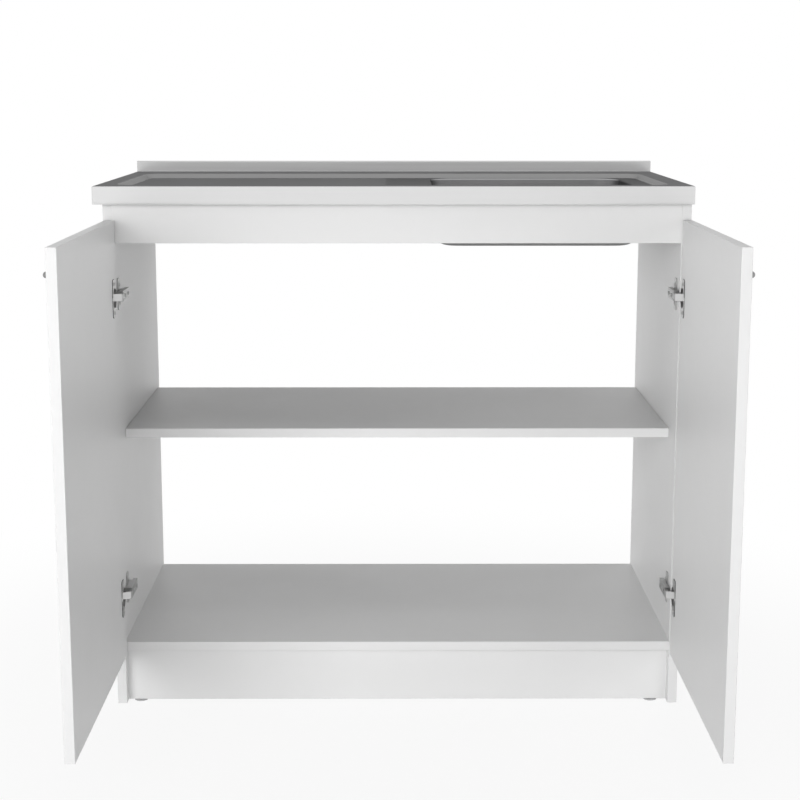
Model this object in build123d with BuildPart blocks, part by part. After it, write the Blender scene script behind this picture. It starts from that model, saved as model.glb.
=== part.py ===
from build123d import *

import os
from math import atan2, cos, degrees, hypot, radians, sin, sqrt

# Sink base cabinet. X runs left to right, Y towards the wall, Z up, in millimetres.
# The origin is on the floor, in the plane of the carcass front, at the carcass centre.
# The doors are modelled at rest as they stand when opened by a right angle.

os.makedirs("parts", exist_ok=True)

# ---- carcass boards ----
carcass_width = 984.0
carcass_top = 908.0
side_depth = 498.0
board = 16.0
foot_height = 3.0
bottom_top = 115.5
bottom_back_gap = 7.0
shelf_top = 482.7
shelf_setback = 68.0
shelf_back_gap = 17.0
shelf_side_gap = 0.5
plinth_setback = 21.0
rail_height = 95.0

# ---- pressed steel sink top ----
sink_overhang_left = 14.0
sink_overhang_right = 2.0
sink_overhang_front = 20.0
sink_overhang_back = 2.0
sheet = 1.0
apron_height = 30.0
upstand_height = 20.0
upstand_depth = 14.0
deck_corner_radius = 3.0
recess_depth = 8.0
recess_gap_left = 1.3
recess_gap_right = 18.1
recess_gap_front = 2.0
recess_rim_back = 86.0
recess_slope_sides = 9.0
recess_slope_ends = 13.0
recess_corner_radius = 22.0
bowl_width = 352.0
bowl_length = 345.0
bowl_from_right = 80.0
bowl_from_front = 54.0
bowl_depth = 96.5
bowl_corner_radius = 45.0
bowl_bottom_radius = 24.0
drain_radius = 30.0
drain_seat_radius = 43.0
drain_seat_depth = 4.0

# ---- doors and knobs ----
door_below_panel = 5.5
door_below_top = 56.0
door_centre_gap = 3.0
door_thickness = 16.0
door_edge_radius = 1.0
front_gap = 3.0
edge_reveal = 2.5
side_adjustment = 2.15
open_face_offset = 1.15
knob_below_top = 42.5
knob_from_free_edge = 39.0
knob_projection = 12.0
knob_head_radius = 4.9
knob_neck_radius = 3.2
knob_neck_length = 5.5
knob_foot_flare = 0.8
knob_rim_height = 1.6
stud_radius = 2.0
stud_length = 11.0
screw_head_radius = 3.4
screw_head_height = 1.6
screw_head_rounding = 0.8

# ---- cup hinges ----
hinge_from_bottom = 110.5
hinge_from_top = 128.5
cup_radius = 17.4
cup_depth = 11.5
cup_wall = 0.8
cup_clearance = 0.1
cup_from_edge = 4.0
flange_height = 65.0
flange_thickness = 1.0
flange_disc_radius = 18.0
flange_ear_depth = 22.0
flange_ear_shift = 6.5
flange_ear_radius = 6.0
ear_screw_spacing = 48.0
ear_screw_offset = 6.0
arm_length = 60.0
arm_height = 17.6
arm_bottom = 4.0
arm_top = 11.2
arm_front = 2.0
arm_sheet = 1.2
arm_stud_length = 8.5
nose_height = 8.6
nose_radius = 2.0
nose_root_near = 6.0
nose_root_far = 10.6
arm_pin_depth = 9.67
arm_pin_front = 10.3
arm_pin_radius = 1.2
arm_pin_overhang = 0.4
link_height = 12.4
link_half_width = 2.4
link_sheet = 1.2
link_spine = 0.8
link_overrun = 0.6
cup_pin_radius = 1.0
cup_pin_cover = 0.5
cup_pin_arc = 5.3
fork_front = 1.65
fork_back = 1.85
fork_root = 10.4
spine_overlap = 0.1
plate_height = 54.0
plate_width = 18.0
plate_sheet = 2.0
plate_corner_radius = 4.0
plate_line = 37.0
plate_ridge_height = 8.5
plate_ridge_half = 6.4
plate_bore_floor = 1.2
plate_ridge_front = 10.0
plate_ridge_back = 60.0
plate_screw_spacing = 32.0
adjust_screw_line = 20.0
fixing_screw_line = 49.0

# ---- fasteners and feet ----
fit_gap = 0.05
end_gap = 0.5
dowel_radius = 4.0
dowel_length = 30.0
dowel_in_side = 10.0
cam_radius = 7.5
cam_depth = 12.5
cam_from_end = 34.0
cam_bolt_radius = 3.0
cam_thread_radius = 2.5
cam_thread_length = 11.0
shelf_pin_radius = 2.5
shelf_pin_length = 16.0
shelf_pin_in_side = 8.0
shelf_pin_seat_gap = 0.02
shelf_pin_steps = (64.0, 416.0)
glide_radius = 12.0
glide_edge_radius = 1.0
glide_nail_radius = 1.0
glide_nail_length = 12.0
glide_plinth_insets = {"left": 21.0, "right": 27.0}
glide_from_back = 28.0
bottom_dowels_from_ends = (130.0, 121.0)
bottom_cams_from_ends = (60.0, 56.0)
plinth_dowel_levels = (32.0, 74.0)
rail_dowel_drop = 25.0
rail_cam_rise = 22.0
bracket_leg = 20.0
bracket_width = 25.0
bracket_sheet = 1.5
bracket_from_back = 53.0
bracket_rail_x = 250.0

# ---- places worked out from the sizes above ----
half_width = carcass_width / 2
inner_half = half_width - board
inner_width = carcass_width - 2 * board
bottom_under = bottom_top - board
rail_bottom = carcass_top - rail_height
rail_centre = carcass_top - rail_height / 2
rear_rail_front = side_depth - board
bottom_depth = side_depth - bottom_back_gap
shelf_depth = side_depth - shelf_setback - shelf_back_gap
deck_top = carcass_top + sheet
door_bottom = bottom_under - door_below_panel
door_top = carcass_top - door_below_top
door_height = door_top - door_bottom
door_width = (carcass_width - 2 * edge_reveal - door_centre_gap) / 2
hinge_heights = {"lower": door_bottom + hinge_from_bottom, "upper": door_top - hinge_from_top}
glide_side_y = side_depth - glide_from_back
bracket_side_y = side_depth - bracket_from_back
bottom_dowel_rows = (bottom_dowels_from_ends[0], bottom_depth - bottom_dowels_from_ends[1])
bottom_cam_rows = (bottom_cams_from_ends[0], bottom_depth - bottom_cams_from_ends[1])
hands = {"left": 1, "right": -1}
from_base = (Align.CENTER, Align.CENTER, Align.MIN)
from_top = (Align.CENTER, Align.CENTER, Align.MAX)

hinge_throw = board + open_face_offset - edge_reveal
cup_centre_line = cup_from_edge + cup_radius + cup_clearance

# Cabinet face of each open door, and its pivot in (depth, front) terms of that face.
open_face = {}
for name, hand in hands.items():
    closed_edge = edge_reveal + hand * side_adjustment
    open_face[name] = -hand * half_width + hand * (closed_edge + hinge_throw)
pivot_depth = -hinge_throw / 2
pivot_front = -(hinge_throw + 2 * front_gap) / 2


def place(name, depth, y):
    """Point at a depth into the cabinet from the open door's inner face."""
    return (open_face[name] + hands[name] * depth, y)


# The cup pin keeps its distance from the pivot, half a right angle below the line to the arm pin.
arm_pin = (arm_pin_depth, -arm_pin_front)
pin_bearing = atan2(arm_pin[1] - pivot_front, arm_pin[0] - pivot_depth) - radians(45)
cup_pin = (
    pivot_depth + cup_pin_arc * cos(pin_bearing),
    pivot_front + cup_pin_arc * sin(pin_bearing),
)
cup_pin_offset = cup_centre_line + front_gap + cup_pin[1]
cup_pin_length = 2 * (sqrt(cup_radius**2 - cup_pin_offset**2) - cup_pin_cover)
spine_centre = link_half_width + link_spine / 2 - spine_overlap
link_length = hypot(cup_pin[0] - arm_pin[0], cup_pin[1] - arm_pin[1])
link_angle = degrees(atan2(cup_pin[1] - arm_pin[1], cup_pin[0] - arm_pin[0]))


def export(part, label):
    """Name a sub-part and write its STEP file."""
    part.label = label
    export_step(part, f"parts/{label}.step")


def along_x(x, y, z, direction=1):
    """Location whose own Z axis points along X."""
    return Plane(origin=(x, y, z), x_dir=(0, 1, 0), z_dir=(direction, 0, 0)).location


def along_y(x, y, z, direction=1):
    """Location whose own Z axis points along Y."""
    return Plane(origin=(x, y, z), x_dir=(1, 0, 0), z_dir=(0, direction, 0)).location


# ---- places of the joints between boards ----
rail_dowel_z = rail_centre - rail_dowel_drop
rail_cam_z = rail_centre + rail_cam_rise
front_mid = board / 2
rear_mid = side_depth - board / 2
plinth_mid = plinth_setback + board / 2
bottom_mid = bottom_top - board / 2

dowel_rows = []
for row in bottom_dowel_rows:
    dowel_rows.append((row, bottom_mid))
for level in plinth_dowel_levels:
    dowel_rows.append((plinth_mid, level))
dowel_rows.append((front_mid, rail_dowel_z))
dowel_rows.append((rear_mid, rail_dowel_z))

bolt_rows = []
for row in bottom_cam_rows:
    bolt_rows.append((row, bottom_mid))
bolt_rows.append((front_mid, rail_cam_z))
bolt_rows.append((rear_mid, rail_cam_z))

shelf_pin_z = shelf_top - board - shelf_pin_radius - shelf_pin_seat_gap
shelf_pin_rows = [plate_line + step for step in shelf_pin_steps]
plate_screw_levels = []
for level in hinge_heights.values():
    plate_screw_levels.append(level - plate_screw_spacing / 2)
    plate_screw_levels.append(level + plate_screw_spacing / 2)

# ---- side panels ----
for name, hand in hands.items():
    inner_face = -hand * inner_half
    with BuildPart() as side:
        with BuildSketch(Plane.XY.offset(foot_height)):
            with Locations((inner_face - hand * board / 2, side_depth / 2)):
                Rectangle(board, side_depth)
        extrude(amount=carcass_top - foot_height)
        with Locations(*[along_x(inner_face, y, z, hand) for y, z in dowel_rows]):
            Cylinder(dowel_radius + fit_gap, 2 * (dowel_in_side + end_gap), mode=Mode.SUBTRACT)
        with Locations(*[along_x(inner_face, y, z, hand) for y, z in bolt_rows]):
            Cylinder(cam_thread_radius + fit_gap, 2 * (cam_thread_length + end_gap), mode=Mode.SUBTRACT)
        with Locations(*[along_x(inner_face, y, shelf_pin_z, hand) for y in shelf_pin_rows]):
            Cylinder(shelf_pin_radius + fit_gap, 2 * (shelf_pin_in_side + end_gap), mode=Mode.SUBTRACT)
        with Locations(*[along_x(inner_face, plate_line, z, hand) for z in plate_screw_levels]):
            Cylinder(stud_radius + fit_gap, 2 * (stud_length + end_gap), mode=Mode.SUBTRACT)
        with Locations(along_x(inner_face, bracket_side_y, carcass_top - bracket_leg / 2, hand)):
            Cylinder(stud_radius + fit_gap, 2 * (stud_length + end_gap), mode=Mode.SUBTRACT)
        with Locations((inner_face - hand * board / 2, glide_side_y, foot_height)):
            Cylinder(glide_nail_radius + fit_gap, 2 * (glide_nail_length + end_gap), mode=Mode.SUBTRACT)
    export(side.part, f"side_panel_{name}")

# ---- bottom panel ----
board_dowel_depth = dowel_length - dowel_in_side
with BuildPart() as bottom_panel:
    with BuildSketch(Plane.XY.offset(bottom_under)):
        with Locations((0, bottom_depth / 2)):
            Rectangle(inner_width, bottom_depth)
    extrude(amount=board)
    for hand in hands.values():
        with Locations(*[along_x(-hand * inner_half, y, bottom_mid, hand) for y in bottom_dowel_rows]):
            Cylinder(dowel_radius + fit_gap, 2 * (board_dowel_depth + end_gap), mode=Mode.SUBTRACT)
        with Locations(*[along_x(-hand * inner_half, y, bottom_mid, hand) for y in bottom_cam_rows]):
            Cylinder(cam_bolt_radius + fit_gap, 2 * cam_from_end, mode=Mode.SUBTRACT)
        with Locations(*[(-hand * (inner_half - cam_from_end), y, bottom_under) for y in bottom_cam_rows]):
            Cylinder(cam_radius, 2 * cam_depth, mode=Mode.SUBTRACT)
export(bottom_panel.part, "bottom_panel")

# ---- shelf, resting on its pins ----
with BuildPart() as shelf:
    with BuildSketch(Plane.XY.offset(shelf_top - board)):
        with Locations((0, shelf_setback + shelf_depth / 2)):
            Rectangle(inner_width - 2 * shelf_side_gap, shelf_depth)
    extrude(amount=board)
export(shelf.part, "shelf")

# ---- plinth board ----
glide_plinth_x = {}
for name, hand in hands.items():
    glide_plinth_x[name] = -hand * (inner_half - glide_plinth_insets[name])
with BuildPart() as plinth:
    with BuildSketch(Plane.XY.offset(foot_height)):
        with Locations((0, plinth_mid)):
            Rectangle(inner_width, board)
    extrude(amount=bottom_under - foot_height)
    for name, hand in hands.items():
        with Locations(*[along_x(-hand * inner_half, plinth_mid, z, hand) for z in plinth_dowel_levels]):
            Cylinder(dowel_radius + fit_gap, 2 * (board_dowel_depth + end_gap), mode=Mode.SUBTRACT)
        with Locations((glide_plinth_x[name], plinth_mid, foot_height)):
            Cylinder(glide_nail_radius + fit_gap, 2 * (glide_nail_length + end_gap), mode=Mode.SUBTRACT)
export(plinth.part, "plinth")

# ---- front and rear rails ----
for rail_name, mid_y, cam_face_y, bracket_face_y in (
    ("front_rail", front_mid, board, None),
    ("rear_rail", rear_mid, side_depth, rear_rail_front),
):
    with BuildPart() as rail:
        with BuildSketch(Plane.XY.offset(rail_bottom)):
            with Locations((0, mid_y)):
                Rectangle(inner_width, board)
        extrude(amount=rail_height)
        for hand in hands.values():
            with Locations(along_x(-hand * inner_half, mid_y, rail_dowel_z, hand)):
                Cylinder(dowel_radius + fit_gap, 2 * (board_dowel_depth + end_gap), mode=Mode.SUBTRACT)
            with Locations(along_x(-hand * inner_half, mid_y, rail_cam_z, hand)):
                Cylinder(cam_bolt_radius + fit_gap, 2 * cam_from_end, mode=Mode.SUBTRACT)
            with Locations(along_y(-hand * (inner_half - cam_from_end), cam_face_y, rail_cam_z)):
                Cylinder(cam_radius, 2 * cam_depth, mode=Mode.SUBTRACT)
            if bracket_face_y is not None:
                with Locations(along_y(hand * bracket_rail_x, bracket_face_y, carcass_top - bracket_leg / 2)):
                    Cylinder(stud_radius + fit_gap, 2 * (stud_length + end_gap), mode=Mode.SUBTRACT)
    export(rail.part, rail_name)

# ---- pressed steel sink top ----
sink_left = -half_width - sink_overhang_left
sink_right = half_width + sink_overhang_right
sink_front = -sink_overhang_front
sink_back = side_depth + sink_overhang_back
sink_width = sink_right - sink_left
sink_centre_x = (sink_left + sink_right) / 2
sink_centre_y = (sink_front + sink_back) / 2
sink_depth = sink_back - sink_front
upstand_front = sink_back - upstand_depth
recess_left = -inner_half + recess_gap_left
recess_right = inner_half - recess_gap_right
recess_near = board + recess_gap_front
recess_far = upstand_front - recess_rim_back
recess_centre = ((recess_left + recess_right) / 2, (recess_near + recess_far) / 2)
recess_size = (recess_right - recess_left, recess_far - recess_near)
recess_floor = deck_top - recess_depth
bowl_floor = recess_floor - bowl_depth
bowl_centre = (
    sink_right - bowl_from_right - bowl_width / 2,
    sink_front + bowl_from_front + bowl_length / 2,
)


def recess_body(drop):
    """Pressed recess with sloping walls, lowered by the given drop."""
    with BuildPart() as body:
        with BuildSketch(Plane.XY.offset(deck_top - drop)):
            with Locations(recess_centre):
                RectangleRounded(recess_size[0], recess_size[1], recess_corner_radius + recess_slope_sides)
        with BuildSketch(Plane.XY.offset(recess_floor - drop)):
            with Locations(recess_centre):
                floor_width = recess_size[0] - 2 * recess_slope_sides
                floor_length = recess_size[1] - 2 * recess_slope_ends
                RectangleRounded(floor_width, floor_length, recess_corner_radius)
        loft(ruled=True)
    return body.part


with BuildPart() as sink_void:
    with BuildSketch(Plane.XY.offset(deck_top - apron_height - sheet)):
        with Locations((sink_centre_x, sink_centre_y)):
            RectangleRounded(sink_width - 2 * sheet, sink_depth - 2 * sheet, deck_corner_radius - sheet)
    extrude(amount=apron_height)
    with BuildSketch(Plane.XY.offset(deck_top - 2 * sheet)):
        with Locations((sink_centre_x, sink_back - upstand_depth / 2)):
            Rectangle(sink_width - 2 * sheet, upstand_depth - 2 * sheet)
    extrude(amount=upstand_height + sheet)
    add(recess_body(sheet), mode=Mode.SUBTRACT)

with BuildPart() as sink_top:
    with BuildSketch(Plane.XY.offset(deck_top - apron_height)):
        with Locations((sink_centre_x, sink_centre_y)):
            RectangleRounded(sink_width, sink_depth, deck_corner_radius)
    extrude(amount=apron_height)
    with BuildSketch(Plane.XY.offset(deck_top - sheet)):
        with Locations((sink_centre_x, sink_back - upstand_depth / 2)):
            Rectangle(sink_width, upstand_depth)
    extrude(amount=upstand_height + sheet)
    add(recess_body(0), mode=Mode.SUBTRACT)
    add(sink_void.part, mode=Mode.SUBTRACT)
    with BuildSketch(Plane.XY.offset(bowl_floor - sheet)):
        with Locations(bowl_centre):
            outer_size = (bowl_width + 2 * sheet, bowl_length + 2 * sheet)
            RectangleRounded(outer_size[0], outer_size[1], bowl_corner_radius + sheet)
    extrude(amount=recess_floor - bowl_floor + sheet)
    outer_rim = sink_top.faces().filter_by(Axis.Z).sort_by(Axis.Z)[0].outer_wire()
    fillet(outer_rim.edges(), radius=bowl_bottom_radius + sheet)
    with Locations((bowl_centre[0], bowl_centre[1], bowl_floor - drain_seat_depth - sheet)):
        seat_outer = drain_seat_radius + sheet
        seat_height = drain_seat_depth + sheet
        Cylinder(seat_outer, seat_height, align=from_base)
    with BuildPart(mode=Mode.PRIVATE) as bowl_space:
        with BuildSketch(Plane.XY.offset(bowl_floor)):
            with Locations(bowl_centre):
                RectangleRounded(bowl_width, bowl_length, bowl_corner_radius)
        extrude(amount=deck_top - bowl_floor)
        inner_rim = bowl_space.faces().filter_by(Axis.Z).sort_by(Axis.Z)[0].outer_wire()
        fillet(inner_rim.edges(), radius=bowl_bottom_radius)
    add(bowl_space.part, mode=Mode.SUBTRACT)
    with Locations((bowl_centre[0], bowl_centre[1], bowl_floor - drain_seat_depth)):
        Cylinder(drain_seat_radius, 2 * drain_seat_depth, align=from_base, mode=Mode.SUBTRACT)
    with Locations((bowl_centre[0], bowl_centre[1], bowl_floor)):
        Cylinder(drain_radius, 4 * drain_seat_depth, mode=Mode.SUBTRACT)
export(sink_top.part, "sink_top")

# ---- doors, each one bored for its cups, screws and knob ----
knob_level = door_top - knob_below_top
knob_shoulder = knob_neck_length + 1.5 * knob_rim_height
dome_height = knob_projection - knob_shoulder
dome_radius = (knob_head_radius**2 + dome_height**2) / (2 * dome_height)
dome_half = atan2(knob_head_radius, dome_radius - dome_height) / 2
ear_screw_line = cup_centre_line + ear_screw_offset
ear_screw_levels = []
for level in hinge_heights.values():
    ear_screw_levels.append(level - ear_screw_spacing / 2)
    ear_screw_levels.append(level + ear_screw_spacing / 2)

for name, hand in hands.items():
    face_x = open_face[name]
    back_x = face_x - hand * door_thickness
    knob_y = -front_gap - door_width + knob_from_free_edge
    with BuildPart() as door:
        with BuildSketch(Plane.XY.offset(door_bottom)):
            with Locations((face_x - hand * door_thickness / 2, -front_gap - door_width / 2)):
                RectangleRounded(door_thickness, door_width, door_edge_radius)
        extrude(amount=door_height)
        for level in hinge_heights.values():
            with Locations(along_x(face_x, -front_gap - cup_centre_line, level, hand)):
                Cylinder(cup_radius + cup_clearance, 2 * (cup_depth + cup_clearance), mode=Mode.SUBTRACT)
        with Locations(*[along_x(face_x, -front_gap - ear_screw_line, z, hand) for z in ear_screw_levels]):
            Cylinder(stud_radius + fit_gap, 2 * (stud_length + end_gap), mode=Mode.SUBTRACT)
        with Locations(along_x(back_x, knob_y, knob_level, hand)):
            Cylinder(stud_radius + fit_gap, 2 * (stud_length + end_gap), mode=Mode.SUBTRACT)
    export(door.part, f"door_{name}")

    with BuildPart() as knob:
        outward = Plane(origin=(back_x, knob_y, knob_level), x_dir=(-hand, 0, 0), z_dir=(0, 1, 0))
        with BuildSketch(outward):
            with BuildLine():
                Polyline(
                    (-stud_length, 0),
                    (-stud_length, stud_radius),
                    (0, stud_radius),
                    (0, knob_neck_radius + knob_foot_flare),
                    (knob_foot_flare, knob_neck_radius),
                    (knob_neck_length, knob_neck_radius),
                    (knob_neck_length + knob_rim_height / 2, knob_head_radius),
                    (knob_shoulder, knob_head_radius),
                )
                ThreePointArc(
                    (knob_shoulder, knob_head_radius),
                    (knob_projection - dome_radius * (1 - cos(dome_half)), dome_radius * sin(dome_half)),
                    (knob_projection, 0),
                )
                Line((knob_projection, 0), (-stud_length, 0))
            make_face()
        revolve(axis=Axis((back_x, knob_y, knob_level), (-hand, 0, 0)))
    export(knob.part, f"knob_{name}")

# ---- cup hinges ----
for name, hand in hands.items():
    inner_face = -hand * inner_half
    face_x = open_face[name]
    for height_name, level in hinge_heights.items():
        cup_y = -front_gap - cup_centre_line
        with BuildPart() as cup:
            flange_plane = Plane(origin=(face_x, cup_y, level), x_dir=(0, 1, 0), z_dir=(hand, 0, 0))
            with BuildSketch(flange_plane):
                Circle(flange_disc_radius)
                with Locations((-flange_ear_shift, 0)):
                    RectangleRounded(flange_ear_depth, flange_height, flange_ear_radius)
            extrude(amount=flange_thickness)
            with Locations(along_x(face_x, cup_y, level, -hand)):
                Cylinder(cup_radius, cup_depth, align=from_base)
            with Locations(along_x(face_x + hand * flange_thickness, cup_y, level, -hand)):
                cavity_depth = cup_depth + flange_thickness - cup_wall
                Cylinder(cup_radius - cup_wall, cavity_depth, align=from_base, mode=Mode.SUBTRACT)
            with Locations((*place(name, *cup_pin), level)):
                Cylinder(cup_pin_radius + fit_gap, cup_pin_length + 2 * fit_gap, mode=Mode.SUBTRACT)
            ear_levels = (level - ear_screw_spacing / 2, level + ear_screw_spacing / 2)
            with Locations(*[along_x(face_x, -front_gap - ear_screw_line, z, hand) for z in ear_levels]):
                Cylinder(stud_radius + fit_gap, 4 * flange_thickness, mode=Mode.SUBTRACT)
        export(cup.part, f"hinge_cup_{name}_{height_name}")

        with BuildPart() as arm:
            arm_mid = (arm_bottom + arm_top) / 2
            arm_centre = arm_front + arm_length / 2
            with BuildSketch(Plane.XY.offset(level - arm_height / 2)):
                with Locations(place(name, arm_mid, arm_centre)):
                    Rectangle(arm_top - arm_bottom, arm_length)
            extrude(amount=arm_height)
            with BuildSketch(Plane.XY.offset(level - arm_height / 2 + arm_sheet)):
                with Locations(place(name, arm_mid - arm_sheet, arm_centre + arm_sheet)):
                    Rectangle(arm_top - arm_bottom, arm_length)
            extrude(amount=arm_height - 2 * arm_sheet, mode=Mode.SUBTRACT)
            with BuildSketch(Plane.XY.offset(level - nose_height / 2)):
                with Locations(place(name, *arm_pin)):
                    Circle(nose_radius)
                with BuildLine():
                    Polyline(
                        place(name, arm_pin[0] - nose_radius, arm_pin[1]),
                        place(name, arm_pin[0] + nose_radius, arm_pin[1]),
                        place(name, nose_root_far, arm_front),
                        place(name, nose_root_near, arm_front),
                        close=True,
                    )
                make_face()
            extrude(amount=nose_height)
            with Locations((*place(name, *arm_pin), level)):
                Cylinder(arm_pin_radius + fit_gap, link_height, mode=Mode.SUBTRACT)
            for line in (adjust_screw_line, fixing_screw_line):
                with Locations(along_x(place(name, arm_top, 0)[0], line, level, hand)):
                    Cylinder(stud_radius + fit_gap, 4 * arm_sheet, mode=Mode.SUBTRACT)
        export(arm.part, f"hinge_arm_{name}_{height_name}")

        with BuildPart() as plate:
            plate_plane = Plane(origin=(inner_face, plate_line, level), x_dir=(0, 1, 0), z_dir=(hand, 0, 0))
            with BuildSketch(plate_plane):
                RectangleRounded(plate_width, plate_height, plate_corner_radius)
            extrude(amount=plate_sheet)
            ridge_length = plate_ridge_back - plate_ridge_front
            ridge_shift = (plate_ridge_front + plate_ridge_back) / 2 - plate_line
            with BuildSketch(plate_plane):
                with Locations((ridge_shift, 0)):
                    Rectangle(ridge_length, 2 * plate_ridge_half)
            extrude(amount=plate_ridge_height)
            levels = (level - plate_screw_spacing / 2, level + plate_screw_spacing / 2)
            with Locations(*[along_x(inner_face, plate_line, z, hand) for z in levels]):
                Cylinder(stud_radius + fit_gap, 4 * plate_sheet, mode=Mode.SUBTRACT)
            bore_depth = plate_ridge_height - plate_bore_floor
            for line in (adjust_screw_line, fixing_screw_line):
                with Locations(along_x(inner_face + hand * plate_ridge_height, line, level, -hand)):
                    Cylinder(stud_radius + fit_gap, bore_depth, align=from_base, mode=Mode.SUBTRACT)
        export(plate.part, f"mounting_plate_{name}_{height_name}")

        with BuildPart() as link:
            pin_place = place(name, *arm_pin)
            turn = link_angle if hand > 0 else 180 - link_angle
            for lug_bottom in (level - link_height / 2, level + link_height / 2 - link_sheet):
                with BuildSketch(Plane.XY.offset(lug_bottom)):
                    with Locations(Location(pin_place, turn)):
                        Circle(link_half_width)
                        with Locations(((link_length + link_overrun) / 2, 0)):
                            Rectangle(link_length + link_overrun, 2 * link_half_width)
                extrude(amount=link_sheet)
            with BuildSketch(Plane.XY.offset(level - link_height / 2)):
                with Locations(Location(pin_place, turn)):
                    with Locations(((link_length + link_overrun) / 2, hand * spine_centre)):
                        Rectangle(link_length + link_overrun, link_spine)
            extrude(amount=link_height)
            with BuildSketch(Plane.XY.offset(level - link_height / 2)):
                with Locations(pin_place):
                    Circle(arm_pin_radius + fit_gap)
                with Locations(Location(pin_place, turn)):
                    with Locations((fork_root + link_length / 2, hand * (fork_front - fork_back) / 2)):
                        Rectangle(link_length, fork_front + fork_back)
            extrude(amount=link_height, mode=Mode.SUBTRACT)
        export(link.part, f"hinge_link_{name}_{height_name}")

    with BuildPart() as cup_pins:
        with Locations(*[(*place(name, *cup_pin), z) for z in hinge_heights.values()]):
            Cylinder(cup_pin_radius, cup_pin_length)
    export(cup_pins.part, f"cup_pins_{name}")

# ---- pan head screws, their heads above their own origin ----
with BuildPart() as screw:
    with Locations((0, 0, 0)):
        Cylinder(screw_head_radius, screw_head_height, align=from_base)
    fillet(screw.faces().sort_by(Axis.Z)[-1].edges(), radius=screw_head_rounding)
    Cylinder(stud_radius, stud_length, align=from_top)

with BuildPart() as arm_screw:
    with Locations((0, 0, 0)):
        Cylinder(screw_head_radius, screw_head_height, align=from_base)
    fillet(arm_screw.faces().sort_by(Axis.Z)[-1].edges(), radius=screw_head_rounding)
    Cylinder(stud_radius, arm_stud_length, align=from_top)

for name, hand in hands.items():
    with BuildPart() as cup_screws:
        head_x = open_face[name] + hand * flange_thickness
        with Locations(*[along_x(head_x, -front_gap - ear_screw_line, z, hand) for z in ear_screw_levels]):
            add(screw.part)
    export(cup_screws.part, f"cup_screws_{name}")

with BuildPart() as plate_screws:
    for hand in hands.values():
        head_x = -hand * (inner_half - plate_sheet)
        with Locations(*[along_x(head_x, plate_line, z, hand) for z in plate_screw_levels]):
            add(screw.part)
export(plate_screws.part, "plate_screws")

with BuildPart() as arm_screws:
    for name, hand in hands.items():
        head_x = place(name, arm_top, 0)[0]
        spots = []
        for level in hinge_heights.values():
            spots.append(along_x(head_x, adjust_screw_line, level, hand))
            spots.append(along_x(head_x, fixing_screw_line, level, hand))
        with Locations(*spots):
            add(arm_screw.part)
export(arm_screws.part, "arm_screws")

with BuildPart() as arm_pins:
    for name in hands:
        with Locations(*[(*place(name, *arm_pin), z) for z in hinge_heights.values()]):
            Cylinder(arm_pin_radius, link_height + 2 * arm_pin_overhang)
export(arm_pins.part, "arm_pins")

# ---- joining hardware ----
with BuildPart() as dowels:
    for hand in hands.values():
        centre_x = -hand * (inner_half + dowel_in_side - dowel_length / 2)
        with Locations(*[along_x(centre_x, y, z) for y, z in dowel_rows]):
            Cylinder(dowel_radius, dowel_length)
export(dowels.part, "dowels")

with BuildPart() as cam_housings:
    for hand in hands.values():
        cam_x = -hand * (inner_half - cam_from_end)
        spots = [Location((cam_x, y, bottom_under)) for y in bottom_cam_rows]
        spots.append(along_y(cam_x, board, rail_cam_z, -1))
        spots.append(along_y(cam_x, side_depth, rail_cam_z, -1))
        with Locations(*spots):
            Cylinder(cam_radius - fit_gap, cam_depth - fit_gap, align=from_base)
        with Locations(*[along_x(cam_x, y, z, hand) for y, z in bolt_rows]):
            Cylinder(cam_bolt_radius + fit_gap, 4 * cam_radius, mode=Mode.SUBTRACT)
export(cam_housings.part, "cam_housings")

with BuildPart() as cam_bolts:
    for hand in hands.values():
        with Locations(*[along_x(-hand * inner_half, y, z, hand) for y, z in bolt_rows]):
            Cylinder(cam_bolt_radius, cam_from_end, align=from_base)
            Cylinder(cam_thread_radius, cam_thread_length, align=from_top)
export(cam_bolts.part, "cam_bolts")

with BuildPart() as shelf_pins:
    for hand in hands.values():
        pin_x = -hand * (inner_half + shelf_pin_in_side - shelf_pin_length / 2)
        with Locations(*[along_x(pin_x, y, shelf_pin_z) for y in shelf_pin_rows]):
            Cylinder(shelf_pin_radius, shelf_pin_length)
export(shelf_pins.part, "shelf_pins")

# ---- glides under the plinth and under the back of each side ----
glide_places = {}
for name, hand in hands.items():
    glide_places[f"glide_front_{name}"] = (glide_plinth_x[name], plinth_mid)
    glide_places[f"glide_back_{name}"] = (-hand * (inner_half + board / 2), glide_side_y)
for glide_name, spot in glide_places.items():
    with BuildPart() as glide:
        with Locations((spot[0], spot[1], 0)):
            Cylinder(glide_radius, foot_height, align=from_base)
        fillet(glide.faces().sort_by(Axis.Z)[0].edges(), radius=glide_edge_radius)
        with Locations((spot[0], spot[1], foot_height)):
            Cylinder(glide_nail_radius, glide_nail_length, align=from_base)
    export(glide.part, glide_name)

# ---- brackets that hold the sink top to the sides and the rear rail ----
with BuildPart() as bracket:
    with BuildSketch(Plane.XZ.offset(-bracket_width / 2)):
        with BuildLine():
            Polyline(
                (0, 0),
                (bracket_leg, 0),
                (bracket_leg, -bracket_sheet),
                (bracket_sheet, -bracket_sheet),
                (bracket_sheet, -bracket_leg),
                (0, -bracket_leg),
                close=True,
            )
        make_face()
    extrude(amount=bracket_width)
    with Locations(along_x(0, 0, -bracket_leg / 2)):
        Cylinder(stud_radius + fit_gap, 4 * bracket_sheet, mode=Mode.SUBTRACT)

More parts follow.
